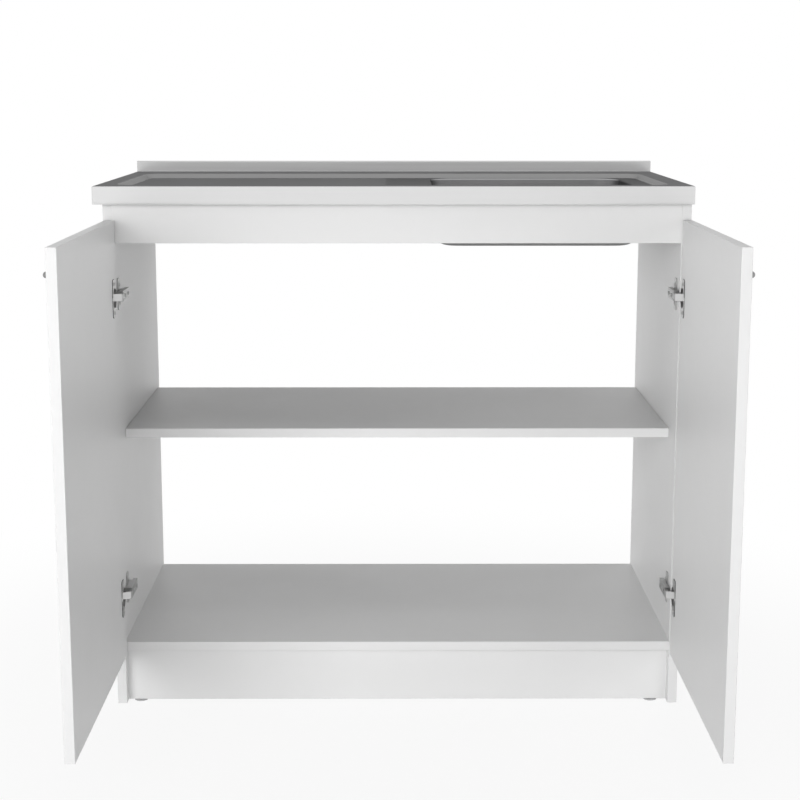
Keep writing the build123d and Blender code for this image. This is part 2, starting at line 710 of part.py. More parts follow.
bracket_spots = []
bracket_screw_spots = []
for hand in hands.values():
    side_x = -hand * inner_half
    turn = 0 if hand > 0 else 180
    bracket_spots.append(Location((side_x, bracket_side_y, carcass_top), (0, 0, turn)))
    bracket_spots.append(Location((hand * bracket_rail_x, rear_rail_front, carcass_top), (0, 0, -90)))
    screw_z = carcass_top - bracket_leg / 2
    bracket_screw_spots.append(along_x(side_x + hand * bracket_sheet, bracket_side_y, screw_z, hand))
    bracket_screw_spots.append(along_y(hand * bracket_rail_x, rear_rail_front - bracket_sheet, screw_z, -1))

with BuildPart() as sink_brackets:
    with Locations(*bracket_spots):
        add(bracket.part)
export(sink_brackets.part, "sink_brackets")

with BuildPart() as bracket_screws:
    with Locations(*bracket_screw_spots):
        add(screw.part)
export(bracket_screws.part, "bracket_screws")
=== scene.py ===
"""Looks of a sink base cabinet: white boards, cup hinges and a pressed steel sink top."""

import logging
import math
from dataclasses import dataclass, field
from enum import Enum
from typing import Iterable, NamedTuple, Sequence

import bmesh
import bpy
from mathutils import Matrix, Vector

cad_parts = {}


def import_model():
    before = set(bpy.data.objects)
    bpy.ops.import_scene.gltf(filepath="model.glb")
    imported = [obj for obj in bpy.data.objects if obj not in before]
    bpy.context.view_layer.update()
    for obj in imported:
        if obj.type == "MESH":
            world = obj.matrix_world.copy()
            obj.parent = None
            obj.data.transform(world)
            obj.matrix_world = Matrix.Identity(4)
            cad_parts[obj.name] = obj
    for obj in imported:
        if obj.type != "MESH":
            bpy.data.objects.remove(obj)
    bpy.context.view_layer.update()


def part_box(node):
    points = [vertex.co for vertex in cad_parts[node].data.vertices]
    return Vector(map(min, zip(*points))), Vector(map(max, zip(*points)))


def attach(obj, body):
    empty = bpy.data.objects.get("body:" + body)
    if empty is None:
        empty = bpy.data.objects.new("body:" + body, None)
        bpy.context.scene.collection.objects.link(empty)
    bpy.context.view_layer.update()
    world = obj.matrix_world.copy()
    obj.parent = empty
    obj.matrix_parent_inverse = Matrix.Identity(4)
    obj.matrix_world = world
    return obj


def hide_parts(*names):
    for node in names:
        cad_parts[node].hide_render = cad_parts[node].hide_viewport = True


log = logging.getLogger("sink_cabinet")

MM = 0.001
TINY = 1e-7
WELD = 0.002 * MM
FLAT_ANGLE = 0.5
SHARP_ANGLE = 30.0
CABINET = "cabinet"
HEIGHTS = ("lower", "upper")
ENDS = (-1, 1)

Mesh = bmesh.types.BMesh
Verts = list[bmesh.types.BMVert]
Object = bpy.types.Object
Material = bpy.types.Material
Inputs = dict[str | int, object]
Socket = bpy.types.NodeSocket
Palette = dict[str, Material]
Loop = list[Vector]
Point = tuple[float, float]
Outline = tuple[Sequence[float], Sequence[float], float]
Place = tuple[float, float, float]
Colour = tuple[float, float, float, float]


class Side(Enum):
    """The two ends of the cabinet, with the sign of the way into it along X."""

    LEFT = 1
    RIGHT = -1

    @property
    def word(self) -> str:
        """The side's name as the frame writes it."""
        return self.name.lower()

    @property
    def into(self) -> Vector:
        """The way into the cabinet."""
        return Vector((self.value, 0, 0))

    def body(self, part: str) -> str:
        """Name of this side's body for the door or the links."""
        return f"{self.word}_{part}"

    def face(self, node: str, inward: bool = True) -> float:
        """X of a CAD node's face that looks into the cabinet, or out of it."""
        low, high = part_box(node)
        return (high if (self is Side.LEFT) == inward else low).x


class Edge(Enum):
    """Edges of a board that can carry a strip of edging: axis and end."""

    FRONT = (1, 0)
    BACK = (1, 1)
    BELOW = (2, 0)
    ABOVE = (2, 1)


def middle(node: str) -> Vector:
    """The middle of a CAD node's box."""
    low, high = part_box(node)
    return (low + high) / 2


def grey(tone: float, blue: float = 0.0) -> Colour:
    """A grey, with a little more or less blue."""
    return (tone, tone, tone + blue, 1.0)


# ---------------------------------------------------------------- node trees


class NodeSheet:
    """A node tree with short calls to add, set and link its nodes."""

    def __init__(self, tree: bpy.types.NodeTree) -> None:
        """Keep the tree that the nodes go into."""
        self.tree = tree

    def link(self, start: Socket, end: Socket) -> None:
        """Link an output socket to an input socket."""
        self.tree.links.new(start, end)

    def add(self, kind: str, inputs: Inputs | None = None, **settings: object) -> bpy.types.Node:
        """Add one node, set its properties and feed its inputs.

        Args:
            kind: the node's class name.
            inputs: input to its value, or to the output socket that it is linked to.
            **settings: the node's plain properties.

        Returns:
            The new node.
        """
        node = self.tree.nodes.new(kind)
        for name, value in settings.items():
            setattr(node, name, value)
        for name, value in (inputs or {}).items():
            if isinstance(value, Socket):
                self.link(value, node.inputs[name])
            else:
                node.inputs[name].default_value = value
        return node

    def maths(self, operation: str, *values: object, clamp: bool = False) -> Socket:
        """Give the result of a Math node on one to three sockets or numbers."""
        node = self.add("ShaderNodeMath", dict(enumerate(values)), operation=operation, use_clamp=clamp)
        return node.outputs[0]

    def noise(self, vector: object, scale: object, detail: float, roughness: float = 0.5) -> Socket:
        """Give the value of a Noise Texture."""
        inputs = {"Vector": vector, "Scale": scale, "Detail": detail, "Roughness": roughness}
        return self.add("ShaderNodeTexNoise", inputs).outputs["Fac"]

    def spread(self, value: Socket, low: float, high: float) -> Socket:
        """Turn a value from 0 to 1 into one between two limits."""
        limits = {"Value": value, "To Min": low, "To Max": high}
        return self.add("ShaderNodeMapRange", limits).outputs["Result"]

    def mixed(self, factor: Socket, low: object, high: object) -> Socket:
        """Mix two colours, the first where the factor is 0 and the second where it is 1."""
        return self.add("ShaderNodeMix", {0: factor, 6: low, 7: high}, data_type="RGBA").outputs[2]


class EffectGroup(NodeSheet):
    """A shader node group that reads coordinates and plain values."""

    def __init__(self, name: str, inputs: dict[str, float], outputs: Sequence[str]) -> None:
        """Make the group and its named sockets.

        Args:
            name: the group's name.
            inputs: the names of its values, with their defaults.
            outputs: the names of its results.
        """
        super().__init__(bpy.data.node_groups.new(name, "ShaderNodeTree"))
        face = self.tree.interface
        face.new_socket("Vector", in_out="INPUT", socket_type="NodeSocketVector")
        for label, default in inputs.items():
            face.new_socket(label, in_out="INPUT", socket_type="NodeSocketFloat").default_value = default
        for label in outputs:
            face.new_socket(label, in_out="OUTPUT", socket_type="NodeSocketFloat")
        self.given = self.add("NodeGroupInput").outputs
        self.result = self.add("NodeGroupOutput").inputs


class SharedEffects:
    """The node groups that more than one material uses, each built once."""

    def __init__(self) -> None:
        """Build the three groups."""
        self.pearl = self.pressed_pearl()
        self.brushing = self.long_brushing()
        self.handling = self.handling_marks()

    @staticmethod
    def pressed_pearl() -> bpy.types.NodeTree:
        """Fine pearl of a pressed surface, as a height and a slow patchy mask.

        Returns:
            The node group.
        """
        group = EffectGroup("pressed_pearl", {"Fineness": 900.0, "Patch": 6.0}, ("Height", "Mask"))
        vector, fineness = group.given["Vector"], group.given["Fineness"]
        fine = group.noise(vector, fineness, detail=2.0, roughness=0.55)
        coarse = group.noise(vector, group.maths("MULTIPLY", fineness, 0.21), detail=1.0)
        slow = group.noise(vector, group.given["Patch"], detail=4.0, roughness=0.6)
        group.link(group.maths("ADD", fine, group.maths("MULTIPLY", coarse, 0.6)), group.result["Height"])
        group.link(slow, group.result["Mask"])
        return group.tree

    @staticmethod
    def long_brushing() -> bpy.types.NodeTree:
        """Long fine scratches of brushed steel along X, as a height and a mask of broad streaks.

        Returns:
            The node group.
        """
        group = EffectGroup("long_brushing", {"Stretch": 14.0, "Fineness": 1400.0}, ("Height", "Mask"))
        parts = group.add("ShaderNodeSeparateXYZ", {0: group.given["Vector"]}).outputs
        for result, along, across, detail, roughness in (
            ("Height", group.given["Stretch"], group.given["Fineness"], 3.0, 0.65),
            ("Mask", 3.0, 160.0, 2.0, 0.5),
        ):
            scales = (along, across, across)
            drawn = [group.maths("MULTIPLY", part, scale) for part, scale in zip(parts, scales)]
            vector = group.add("ShaderNodeCombineXYZ", dict(enumerate(drawn))).outputs[0]
            group.link(group.noise(vector, 1.0, detail, roughness), group.result[result])
        return group.tree

    @staticmethod
    def handling_marks() -> bpy.types.NodeTree:
        """Faint wiping and handling marks, as a mask.

        Returns:
            The node group.
        """
        group = EffectGroup("handling_marks", {"Size": 9.0}, ("Mask",))
        vector, size = group.given["Vector"], group.given["Size"]
        broad = group.noise(vector, size, detail=5.0, roughness=0.62)
        curved = group.noise(vector, group.maths("MULTIPLY", size, 5.0), detail=3.0)
        marks = group.spread(group.maths("MULTIPLY", broad, curved), low=-0.15, high=1.6)
        group.link(marks, group.result["Mask"])
        return group.tree


# ---------------------------------------------------------------- finishes


class Surface(NodeSheet):
    """A material in the making: its tree, its shader's inputs and its Object coordinates."""

    def __init__(self, name: str, effects: SharedEffects) -> None:
        """Start the material with its Principled shader.

        Args:
            name: the material's name.
            effects: the shared node groups.
        """
        self.effects = effects
        self.material = bpy.data.materials.new(name)
        self.material.use_nodes = True
        super().__init__(self.material.node_tree)
        self.shader = self.tree.nodes["Principled BSDF"].inputs
        self.coords = self.add("ShaderNodeTexCoord").outputs["Object"]

    def place(self, group: bpy.types.NodeTree, **values: object) -> bpy.types.NodeOutputs:
        """Place a shared group with its own values and give its outputs."""
        return self.add("ShaderNodeGroup", {"Vector": self.coords, **values}, node_tree=group).outputs

    def dress(
        self, tone: Socket, gloss: Socket, height: Socket, relief: float, depth: float = 0.1 * MM
    ) -> None:
        """Feed the shader its colour, its roughness and its bump.

        Args:
            tone: the colour.
            gloss: the roughness.
            height: the bump's height.
            relief: the bump's strength.
            depth: the bump's distance in metres.
        """
        bump = self.add("ShaderNodeBump", {"Strength": relief, "Distance": depth, "Height": height})
        normal = bump.outputs["Normal"]
        for name, socket in (("Base Color", tone), ("Roughness", gloss), ("Normal", normal)):
            self.link(socket, self.shader[name])


@dataclass(frozen=True)
class Finish:
    """What each finish has: two tones, a roughness and its own way to paint them."""

    name: str
    colour: Colour
    toned: Colour
    roughness: float

    def build(self, effects: SharedEffects) -> Material:
        """Make the material.

        Args:
            effects: the shared node groups.

        Returns:
            The material.
        """
        surface = Surface(self.name, effects)
        self.paint(surface)
        return surface.material

    def paint(self, surface: Surface) -> None:
        """Fill the material's tree; each kind of finish has its own."""
        raise NotImplementedError

    def around(self, surface: Surface, mask: Socket, below: float, above: float) -> Socket:
        """Let the roughness vary with a mask, from a little below its value to a little above."""
        return surface.spread(mask, self.roughness - below, self.roughness + above)


@dataclass(frozen=True)
class BoardFinish(Finish):
    """White melamine film on furniture board, or the edging strip that matches it."""

    fineness: float = 900.0
    sheen_level: float = 0.22

    def paint(self, surface: Surface) -> None:
        """Mottle the film, and let handling change its gloss.

        Args:
            surface: the material in the making.
        """
        pearl = surface.place(surface.effects.pearl, Fineness=self.fineness, Patch=5.0)
        marks = surface.place(surface.effects.handling, Size=7.0)
        tone = surface.mixed(pearl["Mask"], self.toned, self.colour)
        gloss = self.around(surface, marks["Mask"], 0.05, 0.08)
        surface.dress(tone, gloss, pearl["Height"], relief=0.05, depth=0.2 * MM)
        surface.shader["Specular IOR Level"].default_value = self.sheen_level


@dataclass(frozen=True)
class SteelFinish(Finish):
    """Stainless or plated steel, brushed along X or left as stamped."""

    edge_tint: float = 0.5
    brushed: bool = True
    relief: float = 0.10
    wear: float = 0.10

    def paint(self, surface: Surface) -> None:
        """Streak or speckle the metal, and let handling dull it.

        Args:
            surface: the material in the making.
        """
        marks = surface.place(surface.effects.handling, Size=16.0)
        if self.brushed:
            grain = surface.place(surface.effects.brushing, Stretch=12.0, Fineness=1300.0)
        else:
            grain = surface.place(surface.effects.pearl, Fineness=2600.0, Patch=60.0)
        tone = surface.mixed(grain["Mask"], self.toned, self.colour)
        streaked = self.around(surface, grain["Mask"], 0.05, 0.05)
        gloss = surface.maths("MULTIPLY_ADD", marks["Mask"], self.wear, streaked, clamp=True)
        tone, gloss = self.zoned(surface, tone, gloss)
        surface.dress(tone, gloss, grain["Height"], self.relief)
        surface.shader["Metallic"].default_value = 1.0
        surface.shader["Specular Tint"].default_value = grey(self.edge_tint)

    def zoned(self, surface: Surface, tone: Socket, gloss: Socket) -> tuple[Socket, Socket]:
        """Change the colour and the roughness in a zone; plain steel has none."""
        return tone, gloss


@dataclass(frozen=True)
class SinkFinish(SteelFinish):
    """Satin pressed steel with painted shade: a darker colour right of a line and below the deck, in the
    bowl and the recess floor round it, where the roughness is also a little lower.
    """

    # painted shade: the darker colour of the bowl and the recess floor round it
    wet: Colour = grey(0.39, 0.005)
    wet_from: float = -21.0 * MM
    wet_below: float = 902.5 * MM
    fade_across: float = 1200.0
    fade_down: float = 1500.0
    wet_gloss: float = -0.04

    def zoned(self, surface: Surface, tone: Socket, gloss: Socket) -> tuple[Socket, Socket]:
        """Paint shade into the zone right of the line and below the deck.

        Args:
            surface: the material in the making.
            tone: the colour outside the painted shade.
            gloss: the roughness outside the zone.

        Returns:
            The colour and the roughness with the zone in them.
        """
        parts = surface.add("ShaderNodeSeparateXYZ", {0: surface.coords}).outputs
        across, down = self.fade_across, self.fade_down
        beside = surface.maths("MULTIPLY_ADD", parts[0], across, -across * self.wet_from, clamp=True)
        below = surface.maths("MULTIPLY_ADD", parts[2], -down, down * self.wet_below, clamp=True)
        # the zone where shade is painted: right of the line and below the deck
        zone = surface.maths("MULTIPLY", beside, below)
        gloss = surface.maths("MULTIPLY_ADD", zone, self.wet_gloss, gloss, clamp=True)
        return surface.mixed(zone, tone, self.wet), gloss


@dataclass(frozen=True)
class ChipboardFinish(Finish):
    """Raw pressed chipboard where a hidden edge has no film."""

    flake: float = 420.0

    def paint(self, surface: Surface) -> None:
        """Lay flakes of two tones, each with its own gloss.

        Args:
            surface: the material in the making.
        """
        cells = {"Vector": surface.coords, "Scale": self.flake}
        flakes = surface.add("ShaderNodeTexVoronoi", cells).outputs
        chance = surface.add("ShaderNodeSeparateColor", {0: flakes["Color"]}).outputs
        pearl = surface.place(surface.effects.pearl, Fineness=1500.0, Patch=60.0)
        mask = surface.maths("MULTIPLY_ADD", pearl["Mask"], 0.5, surface.maths("MULTIPLY", chance[0], 0.6))
        tone = surface.mixed(mask, self.toned, self.colour)
        gloss = self.around(surface, chance[1], 0.10, 0.10)
        surface.dress(tone, gloss, flakes["Distance"], relief=0.5, depth=0.4 * MM)


@dataclass(frozen=True)
class MouldedFinish(Finish):
    """Moulded plastic, a dull coat or turned wood: two tones in a grain that may be drawn out."""

    fineness: float = 1500.0
    stretch: tuple[float, float, float] = (1.0, 1.0, 1.0)

    def paint(self, surface: Surface) -> None:
        """Vary the tone and the gloss with the grain.

        Args:
            surface: the material in the making.
        """
        stretched = {"Vector": surface.coords, "Scale": self.stretch}
        drawn = surface.add("ShaderNodeMapping", stretched).outputs[0]
        pearl = surface.place(surface.effects.pearl, Vector=drawn, Fineness=self.fineness, Patch=90.0)
        tone = surface.mixed(pearl["Mask"], self.toned, self.colour)
        gloss = self.around(surface, pearl["Mask"], 0.06, 0.06)
        surface.dress(tone, gloss, pearl["Height"], relief=0.15)


FINISHES: dict[str, Finish] = {
    "board": BoardFinish("white_melamine", grey(0.80), grey(0.77, -0.002), 0.46),
    "edging": BoardFinish("white_edging", grey(0.785), grey(0.77), 0.36, fineness=1500.0),
    "chipboard": ChipboardFinish("pressed_chipboard", (0.76, 0.66, 0.52, 1), (0.54, 0.43, 0.30, 1), 0.82),
    # the sink steel carries painted shade in the bowl and the recess floor round it
    "sink": SinkFinish("brushed_sink_steel", grey(0.47, 0.005), grey(0.41, 0.005), 0.36, 0.02),
    # the apron, the slope and the upstand are the deck's own steel in other colours: the apron and the
    # upstand are painted lighter, a painted reflection, and the slope darker, painted shade
    "apron": SteelFinish("bright_apron_steel", grey(0.76), grey(0.72), 0.40, 0.9),
    "slope": SteelFinish("drawn_slope_steel", grey(0.31), grey(0.27), 0.40, 0.6),
    "upstand": SteelFinish("satin_upstand_steel", grey(0.66), grey(0.58), 0.34, 0.4),
    "coat": MouldedFinish("dark_underside_coat", grey(0.14), grey(0.11), 0.60),
    "underside": SteelFinish("dull_underside_steel", grey(0.52), grey(0.46), 0.52, 0.6, brushed=False),
    # near-black painted shade on the hinge flange's rim, for the dark line at its edge
    "rim_shade": SteelFinish("sheared_steel_edge", grey(0.05), grey(0.03), 0.50, 0.2, brushed=False),
    "plated": SteelFinish("plated_hinge_steel", grey(0.62, -0.005), grey(0.52), 0.30, 0.8, brushed=False),
    "zinc": SteelFinish("cast_zinc", grey(0.50), grey(0.38), 0.46, 0.6, brushed=False, relief=0.25),
    "knob": SteelFinish("satin_knob_steel", grey(0.33), grey(0.29), 0.26, 0.8, brushed=False, relief=0.05),
    "plastic": MouldedFinish("grey_glide_plastic", grey(0.45, 0.005), grey(0.40, 0.005), 0.50),
    "wood": MouldedFinish(
        "beech_dowel", (0.60, 0.42, 0.26, 1), (0.48, 0.31, 0.18, 1), 0.62, 700.0, stretch=(0.08, 1, 1)
    ),
}


def build_palette() -> Palette:
    """Build every material once, on one set of shared effects."""
    effects = SharedEffects()
    return {word: finish.build(effects) for word, finish in FINISHES.items()}


# ---------------------------------------------------------------- mesh helpers


def linked(name: str, data: bpy.types.ID) -> Object:
    """Make an object of some data and link it to the scene.

    Args:
        name: the object's name.
        data: its mesh, light or camera.

    Returns:
        The object, at the origin.
    """
    obj = bpy.data.objects.new(name, data)
    bpy.context.scene.collection.objects.link(obj)
    return obj


def object_from(bm: Mesh, name: str, smooth: bool = True) -> Object:
    """Turn a bmesh into an object at the origin.

    Args:
        bm: the mesh, freed afterwards.
        name: the object's name.
        smooth: whether its faces are smooth.

    Returns:
        The object.
    """
    mesh = bpy.data.meshes.new(name)
    bm.to_mesh(mesh)
    bm.free()
    for polygon in mesh.polygons:
        polygon.use_smooth = smooth
    return linked(name, mesh)


def weigh_normals(obj: Object) -> None:
    """Weight a piece's normals by area, and keep its sharp edges."""
    obj.modifiers.new("area_normals", "WEIGHTED_NORMAL").keep_sharp = True


def finish_piece(
    obj: Object, body: str, slot: str, nodes: Iterable[str], *materials: Material, sharp: float = 0.0
) -> None:
    """Give a piece its materials, its crisp edges and its place in the frame.

    Args:
        obj: the piece.
        body: the body that it rides on.
        slot: not used.
        nodes: the CAD nodes that it stands for.
        *materials: its materials, if it has none yet.
        sharp: the angle in degrees from which its edges are crisp, or 0 to leave them.
    """
    for material in materials:
        obj.data.materials.append(material)
    if sharp:
        bm = bmesh.new()
        bm.from_mesh(obj.data)
        for edge in bm.edges:
            edge.smooth = edge.calc_face_angle(0.0) < math.radians(sharp)
        bm.to_mesh(obj.data)
        bm.free()
        weigh_normals(obj)
    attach(obj, body)
    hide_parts(*nodes)
    log.info("%s rides on %s", obj.name, body)


def round_edges(bm: Mesh, edges: list[bmesh.types.BMEdge], width: float, segments: int) -> None:
    """Round some of a mesh's edges."""
    size = {"offset": width, "segments": segments, "profile": 0.5}
    bmesh.ops.bevel(bm, geom=edges, affect="EDGES", clamp_overlap=True, **size)


def round_sharp(bm: Mesh, width: float, segments: int, shortest: float) -> None:
    """Round a mesh's sharp edges that are long enough.

    Args:
        bm: the mesh.
        width: the rounding in metres.
        segments: faces across the rounding.
        shortest: the shortest edge that is rounded.
    """
    limit = math.radians(SHARP_ANGLE)
    sharp = [edge for edge in bm.edges if edge.is_manifold and edge.calc_face_angle(0.0) > limit]
    round_edges(bm, [edge for edge in sharp if edge.calc_length() > shortest], width, segments)


def merged_copy(node: str) -> Mesh:
    """Copy a CAD node's mesh with its doubles merged and its flat faces joined.

    Args:
        node: the CAD node's name.

    Returns:
        The copy.
    """
    bm = bmesh.new()
    bm.from_mesh(bpy.data.objects[node].data)
    bmesh.ops.remove_doubles(bm, verts=bm.verts, dist=WELD)
    bmesh.ops.dissolve_limit(bm, angle_limit=math.radians(FLAT_ANGLE), verts=bm.verts, edges=bm.edges)
    return bm


def box_mesh(first: Vector, last: Vector) -> Mesh:
    """A box between two opposite corners.

    Args:
        first: one corner.
        last: the opposite corner.

    Returns:
        The mesh.
    """
    bm = bmesh.new()
    size = (abs(side) for side in last - first)
    matrix = Matrix.Translation((first + last) / 2) @ Matrix.Diagonal((*size, 1.0))
    bmesh.ops.create_cube(bm, size=1.0, matrix=matrix)
    return bm


def join_rings(bm: Mesh, lower: Verts, upper: Verts, finish: int = 0) -> None:
    """Bridge two rings of equal count, either of which may be a single point.

    Args:
        bm: the mesh.
        lower: the first ring.
        upper: the second ring.
        finish: the material index of the new faces.
    """
    count = max(len(lower), len(upper))
    for step in range(count):
        following = (step + 1) % count
        corners: Verts = []
        for ring, order in ((lower, (step, following)), (upper, (following, step))):
            corners += ring if len(ring) == 1 else [ring[index] for index in order]
        bm.faces.new(corners).material_index = finish


def fill_between(bm: Mesh, outer: Verts, inner: Verts) -> None:
    """Fill the flat face between two closed rings of vertices."""
    edges = [bm.edges.get(pair) for ring in (outer, inner) for pair in zip(ring, ring[1:] + ring[:1])]
    bmesh.ops.triangle_fill(bm, edges=[edge for edge in edges if edge], use_beauty=True)


def lathe(profile: Sequence[Point], steps: int) -> Mesh:
    """Turn a profile of (radius, height) in mm round Z; radius 0 makes a pole.

    Args:
        profile: the outline from one end of the axis to the other.
        steps: faces round the axis.

    Returns:
        The closed mesh.
    """
    bm = bmesh.new()
    rings: list[Verts] = []
    for radius, height in profile:
        turns = [math.tau * step / steps for step in range(steps)] if radius else [0.0]
        points = [(radius * math.cos(turn), radius * math.sin(turn), height) for turn in turns]
        rings.append([bm.verts.new(Vector(point) * MM) for point in points])
    for lower, upper in zip(rings, rings[1:]):
        join_rings(bm, lower, upper)
    bmesh.ops.recalc_face_normals(bm, faces=bm.faces)
    return bm


def arc(centre: Point, radius: float, start: float, end: float, steps: int) -> list[Point]:
    """Points on an arc in a plane, both ends included, with its two angles in degrees."""
    turns = [math.radians(start + (end - start) * step / steps) for step in range(steps + 1)]
    return [(centre[0] + radius * math.cos(turn), centre[1] + radius * math.sin(turn)) for turn in turns]


def pour(parts: Iterable[Mesh]) -> Mesh:
    """Gather several meshes in one.

    Args:
        parts: the meshes, freed afterwards.

    Returns:
        The joined mesh.
    """
    whole = bmesh.new()
    for part in parts:
        carrier = bpy.data.meshes.new("pour")
        part.to_mesh(carrier)
        part.free()
        whole.from_mesh(carrier)
        bpy.data.meshes.remove(carrier)
    return whole


def aimed(place: Vector, way: Vector) -> Matrix:
    """A matrix that moves a shape to a place and turns its Z axis a given way."""
    return Matrix.Translation(place) @ way.to_track_quat("Z", "Y").to_matrix().to_4x4()


# ---------------------------------------------------------------- turned and repeated shapes


class Spot(NamedTuple):
    """Where one copy goes, and the way its own Z axis points."""

    place: Place
    way: Sequence[float]


class CopyTree(NodeSheet):
    """Geometry Nodes that set copies of one shape on marked points."""

    def __init__(self) -> None:
        """Build the tree with its named inputs."""
        super().__init__(bpy.data.node_groups.new("set_copies", "GeometryNodeTree"))
        face = self.tree.interface
        face.new_socket("Geometry", in_out="INPUT", socket_type="NodeSocketGeometry")
        kinds = {"Shape": "Object", "Turn Spread": "Float", "Seed": "Int", "Finish": "Material"}
        self.sockets = {
            label: face.new_socket(label, in_out="INPUT", socket_type=f"NodeSocket{kind}").identifier
            for label, kind in kinds.items()
        }
        face.new_socket("Geometry", in_out="OUTPUT", socket_type="NodeSocketGeometry")
        given = self.add("NodeGroupInput").outputs
        shape = self.add("GeometryNodeObjectInfo", {"Object": given["Shape"]}, transform_space="ORIGINAL")
        way = self.add("GeometryNodeInputNamedAttribute", {"Name": "way"}, data_type="FLOAT_VECTOR")
        aim = self.add("FunctionNodeAlignRotationToVector", {"Vector": way.outputs["Attribute"]}, axis="Z")
        limits = {"Min": 0.0, "Max": given["Turn Spread"], "Seed": given["Seed"]}
        chance = self.add("FunctionNodeRandomValue", limits, data_type="FLOAT")
        spin = {"Axis": (0, 0, 1), "Angle": chance.outputs["Value"]}
        turns = {"Rotation": aim.outputs["Rotation"]}
        turns["Rotate By"] = self.add("FunctionNodeAxisAngleToRotation", spin).outputs["Rotation"]
        turned = self.add("FunctionNodeRotateRotation", turns, rotation_space="LOCAL")
        setting = {"Points": given["Geometry"], "Instance": shape.outputs["Geometry"]}
        setting["Rotation"] = turned.outputs["Rotation"]
        copies = self.add("GeometryNodeInstanceOnPoints", setting)
        real = self.add("GeometryNodeRealizeInstances", {"Geometry": copies.outputs["Instances"]})
        dress = {"Geometry": real.outputs["Geometry"], "Material": given["Finish"]}
        dressed = self.add("GeometryNodeSetMaterial", dress)
        self.add("NodeGroupOutput", {"Geometry": dressed.outputs["Geometry"]})

    def set_copies(
        self, shape: Mesh, spots: Sequence[Spot], name: str, finish: Material, spread: float, seed: int
    ) -> Object:
        """Set a copy of a shape on each spot and bake them into one plain mesh.

        Args:
            shape: the shape round its own origin, freed afterwards.
            spots: the places and directions.
            name: the piece's name.
            finish: its material.
            spread: the largest chance turn of a copy about its own axis, in radians.
            seed: the seed of those turns.

        Returns:
            The piece.
        """
        template = object_from(shape, f"{name}_shape")
        points = bpy.data.meshes.new(f"{name}_spots")
        points.from_pydata([spot.place for spot in spots], [], [])
        ways = points.attributes.new("way", "FLOAT_VECTOR", "POINT")
        for mark, spot in zip(ways.data, spots):
            mark.vector = spot.way
        carrier = linked(f"{name}_carrier", points)
        modifier = carrier.modifiers.new("copies", "NODES")
        modifier.node_group = self.tree
        values = {"Shape": template, "Turn Spread": spread, "Seed": seed, "Finish": finish}
        for label, value in values.items():
            modifier[self.sockets[label]] = value
        graph = bpy.context.evaluated_depsgraph_get()
        baked = bpy.data.meshes.new_from_object(carrier.evaluated_get(graph))
        carrier.modifiers.clear()
        bpy.data.objects.remove(carrier)
        bpy.data.objects.remove(template)
        return linked(name, baked)


def press_cross(bm: Mesh, top: float, reach: float, width: float, depth: float, taper: float = 0.7) -> None:
    """Press a cross recess into the flat top of a turned shape; all sizes are in mm.

    Args:
        bm: the shape, whose top ring lies just outside the cross.
        top: the height of its flat top.
        reach: the cross's half length.
        width: the width of its arms.
        depth: how deep it goes.
        taper: the recess's size at its foot, as a share of its size at the top.
    """
    level = [v for v in bm.verts if abs(v.co.z - top * MM) < TINY and v.co.xy.length < reach * 1.1 * MM]
    pole = [v for v in level if v.co.xy.length < TINY]
    ring = sorted((v for v in level if v not in pole), key=lambda v: math.atan2(v.co.y, v.co.x) % math.tau)
    bmesh.ops.delete(bm, geom=pole, context="VERTS")
    half = width / 2
    cross = [
        Matrix.Rotation(math.radians(90 * quarter), 3, "Z") @ Vector((*point, top))
        for quarter in range(4)
        for point in ((reach, -half), (reach, half), (half, half))
    ]
    upper = [bm.verts.new(point * MM) for point in cross]
    lower = [bm.verts.new(Vector((point.x * taper, point.y * taper, top - depth)) * MM) for point in cross]
    join_rings(bm, lower, upper)
    bm.faces.new(lower)
    fill_between(bm, ring, upper)
    bmesh.ops.recalc_face_normals(bm, faces=bm.faces)


@dataclass(frozen=True)
class CrossScrew:
    """Pan head screw with a cross recess, in mm; its head stands on its own origin."""

    shank_length: float = 10.9
    shank_radius: float = 1.95
    head_radius: float = 3.4
    head_height: float = 1.6
    recess_width: float = 0.9
    recess_reach: float = 1.9
    recess_depth: float = 1.0
    threads: int = 9

    def shape(self) -> Mesh:
        """Build the screw.

        Returns:
            The closed mesh.
        """
        foot, shank, top = -self.shank_length, self.shank_radius, self.head_height
        profile = [(0.0, foot), (shank * 0.5, foot + 0.6)]
        pitch = (self.shank_length - 2.2) / self.threads
        for thread in range(self.threads):
            root = foot + 1.2 + thread * pitch
            profile += [(shank * 0.8, root), (shank, root + pitch / 2)]
        profile += [(shank * 0.9, -0.4), (shank * 0.9, 0.0), (self.head_radius * 0.98, 0.0)]
        for turn in (math.radians(angle) for angle in (0, 18, 36)):
            profile.append((self.head_radius * math.cos(turn), top * (0.25 + 0.75 * math.sin(turn))))
        profile += [(self.recess_reach * 1.08, top), (0.0, top)]
        screw = lathe(profile, steps=24)
        press_cross(screw, top, self.recess_reach, self.recess_width, self.recess_depth)
        return screw


@dataclass(frozen=True)
class CamDisc:
    """Die-cast cam sunk flush in a board, in mm, its cross recess in a dished face."""

    radius: float = 7.4
    depth: float = 12.3
    sunk: float = 0.25
    dish: float = 0.6

    def shape(self) -> Mesh:
        """Build the cam with the board's face at the origin.

        Returns:
            The closed mesh.
        """
        face = -self.sunk
        radius, foot, dish = self.radius, -self.depth, face - self.dish
        profile = [(0.0, foot), (radius - 0.6, foot), (radius, foot + 0.6), (radius, face - 0.35)]
        profile += [(radius - 0.35, face), (6.1, face), (5.7, dish), (4.0, dish), (3.5, face), (2.75, face)]
        cam = lathe([*profile, (0.0, face)], steps=32)
        press_cross(cam, face, reach=2.6, width=1.3, depth=2.2)
        return cam


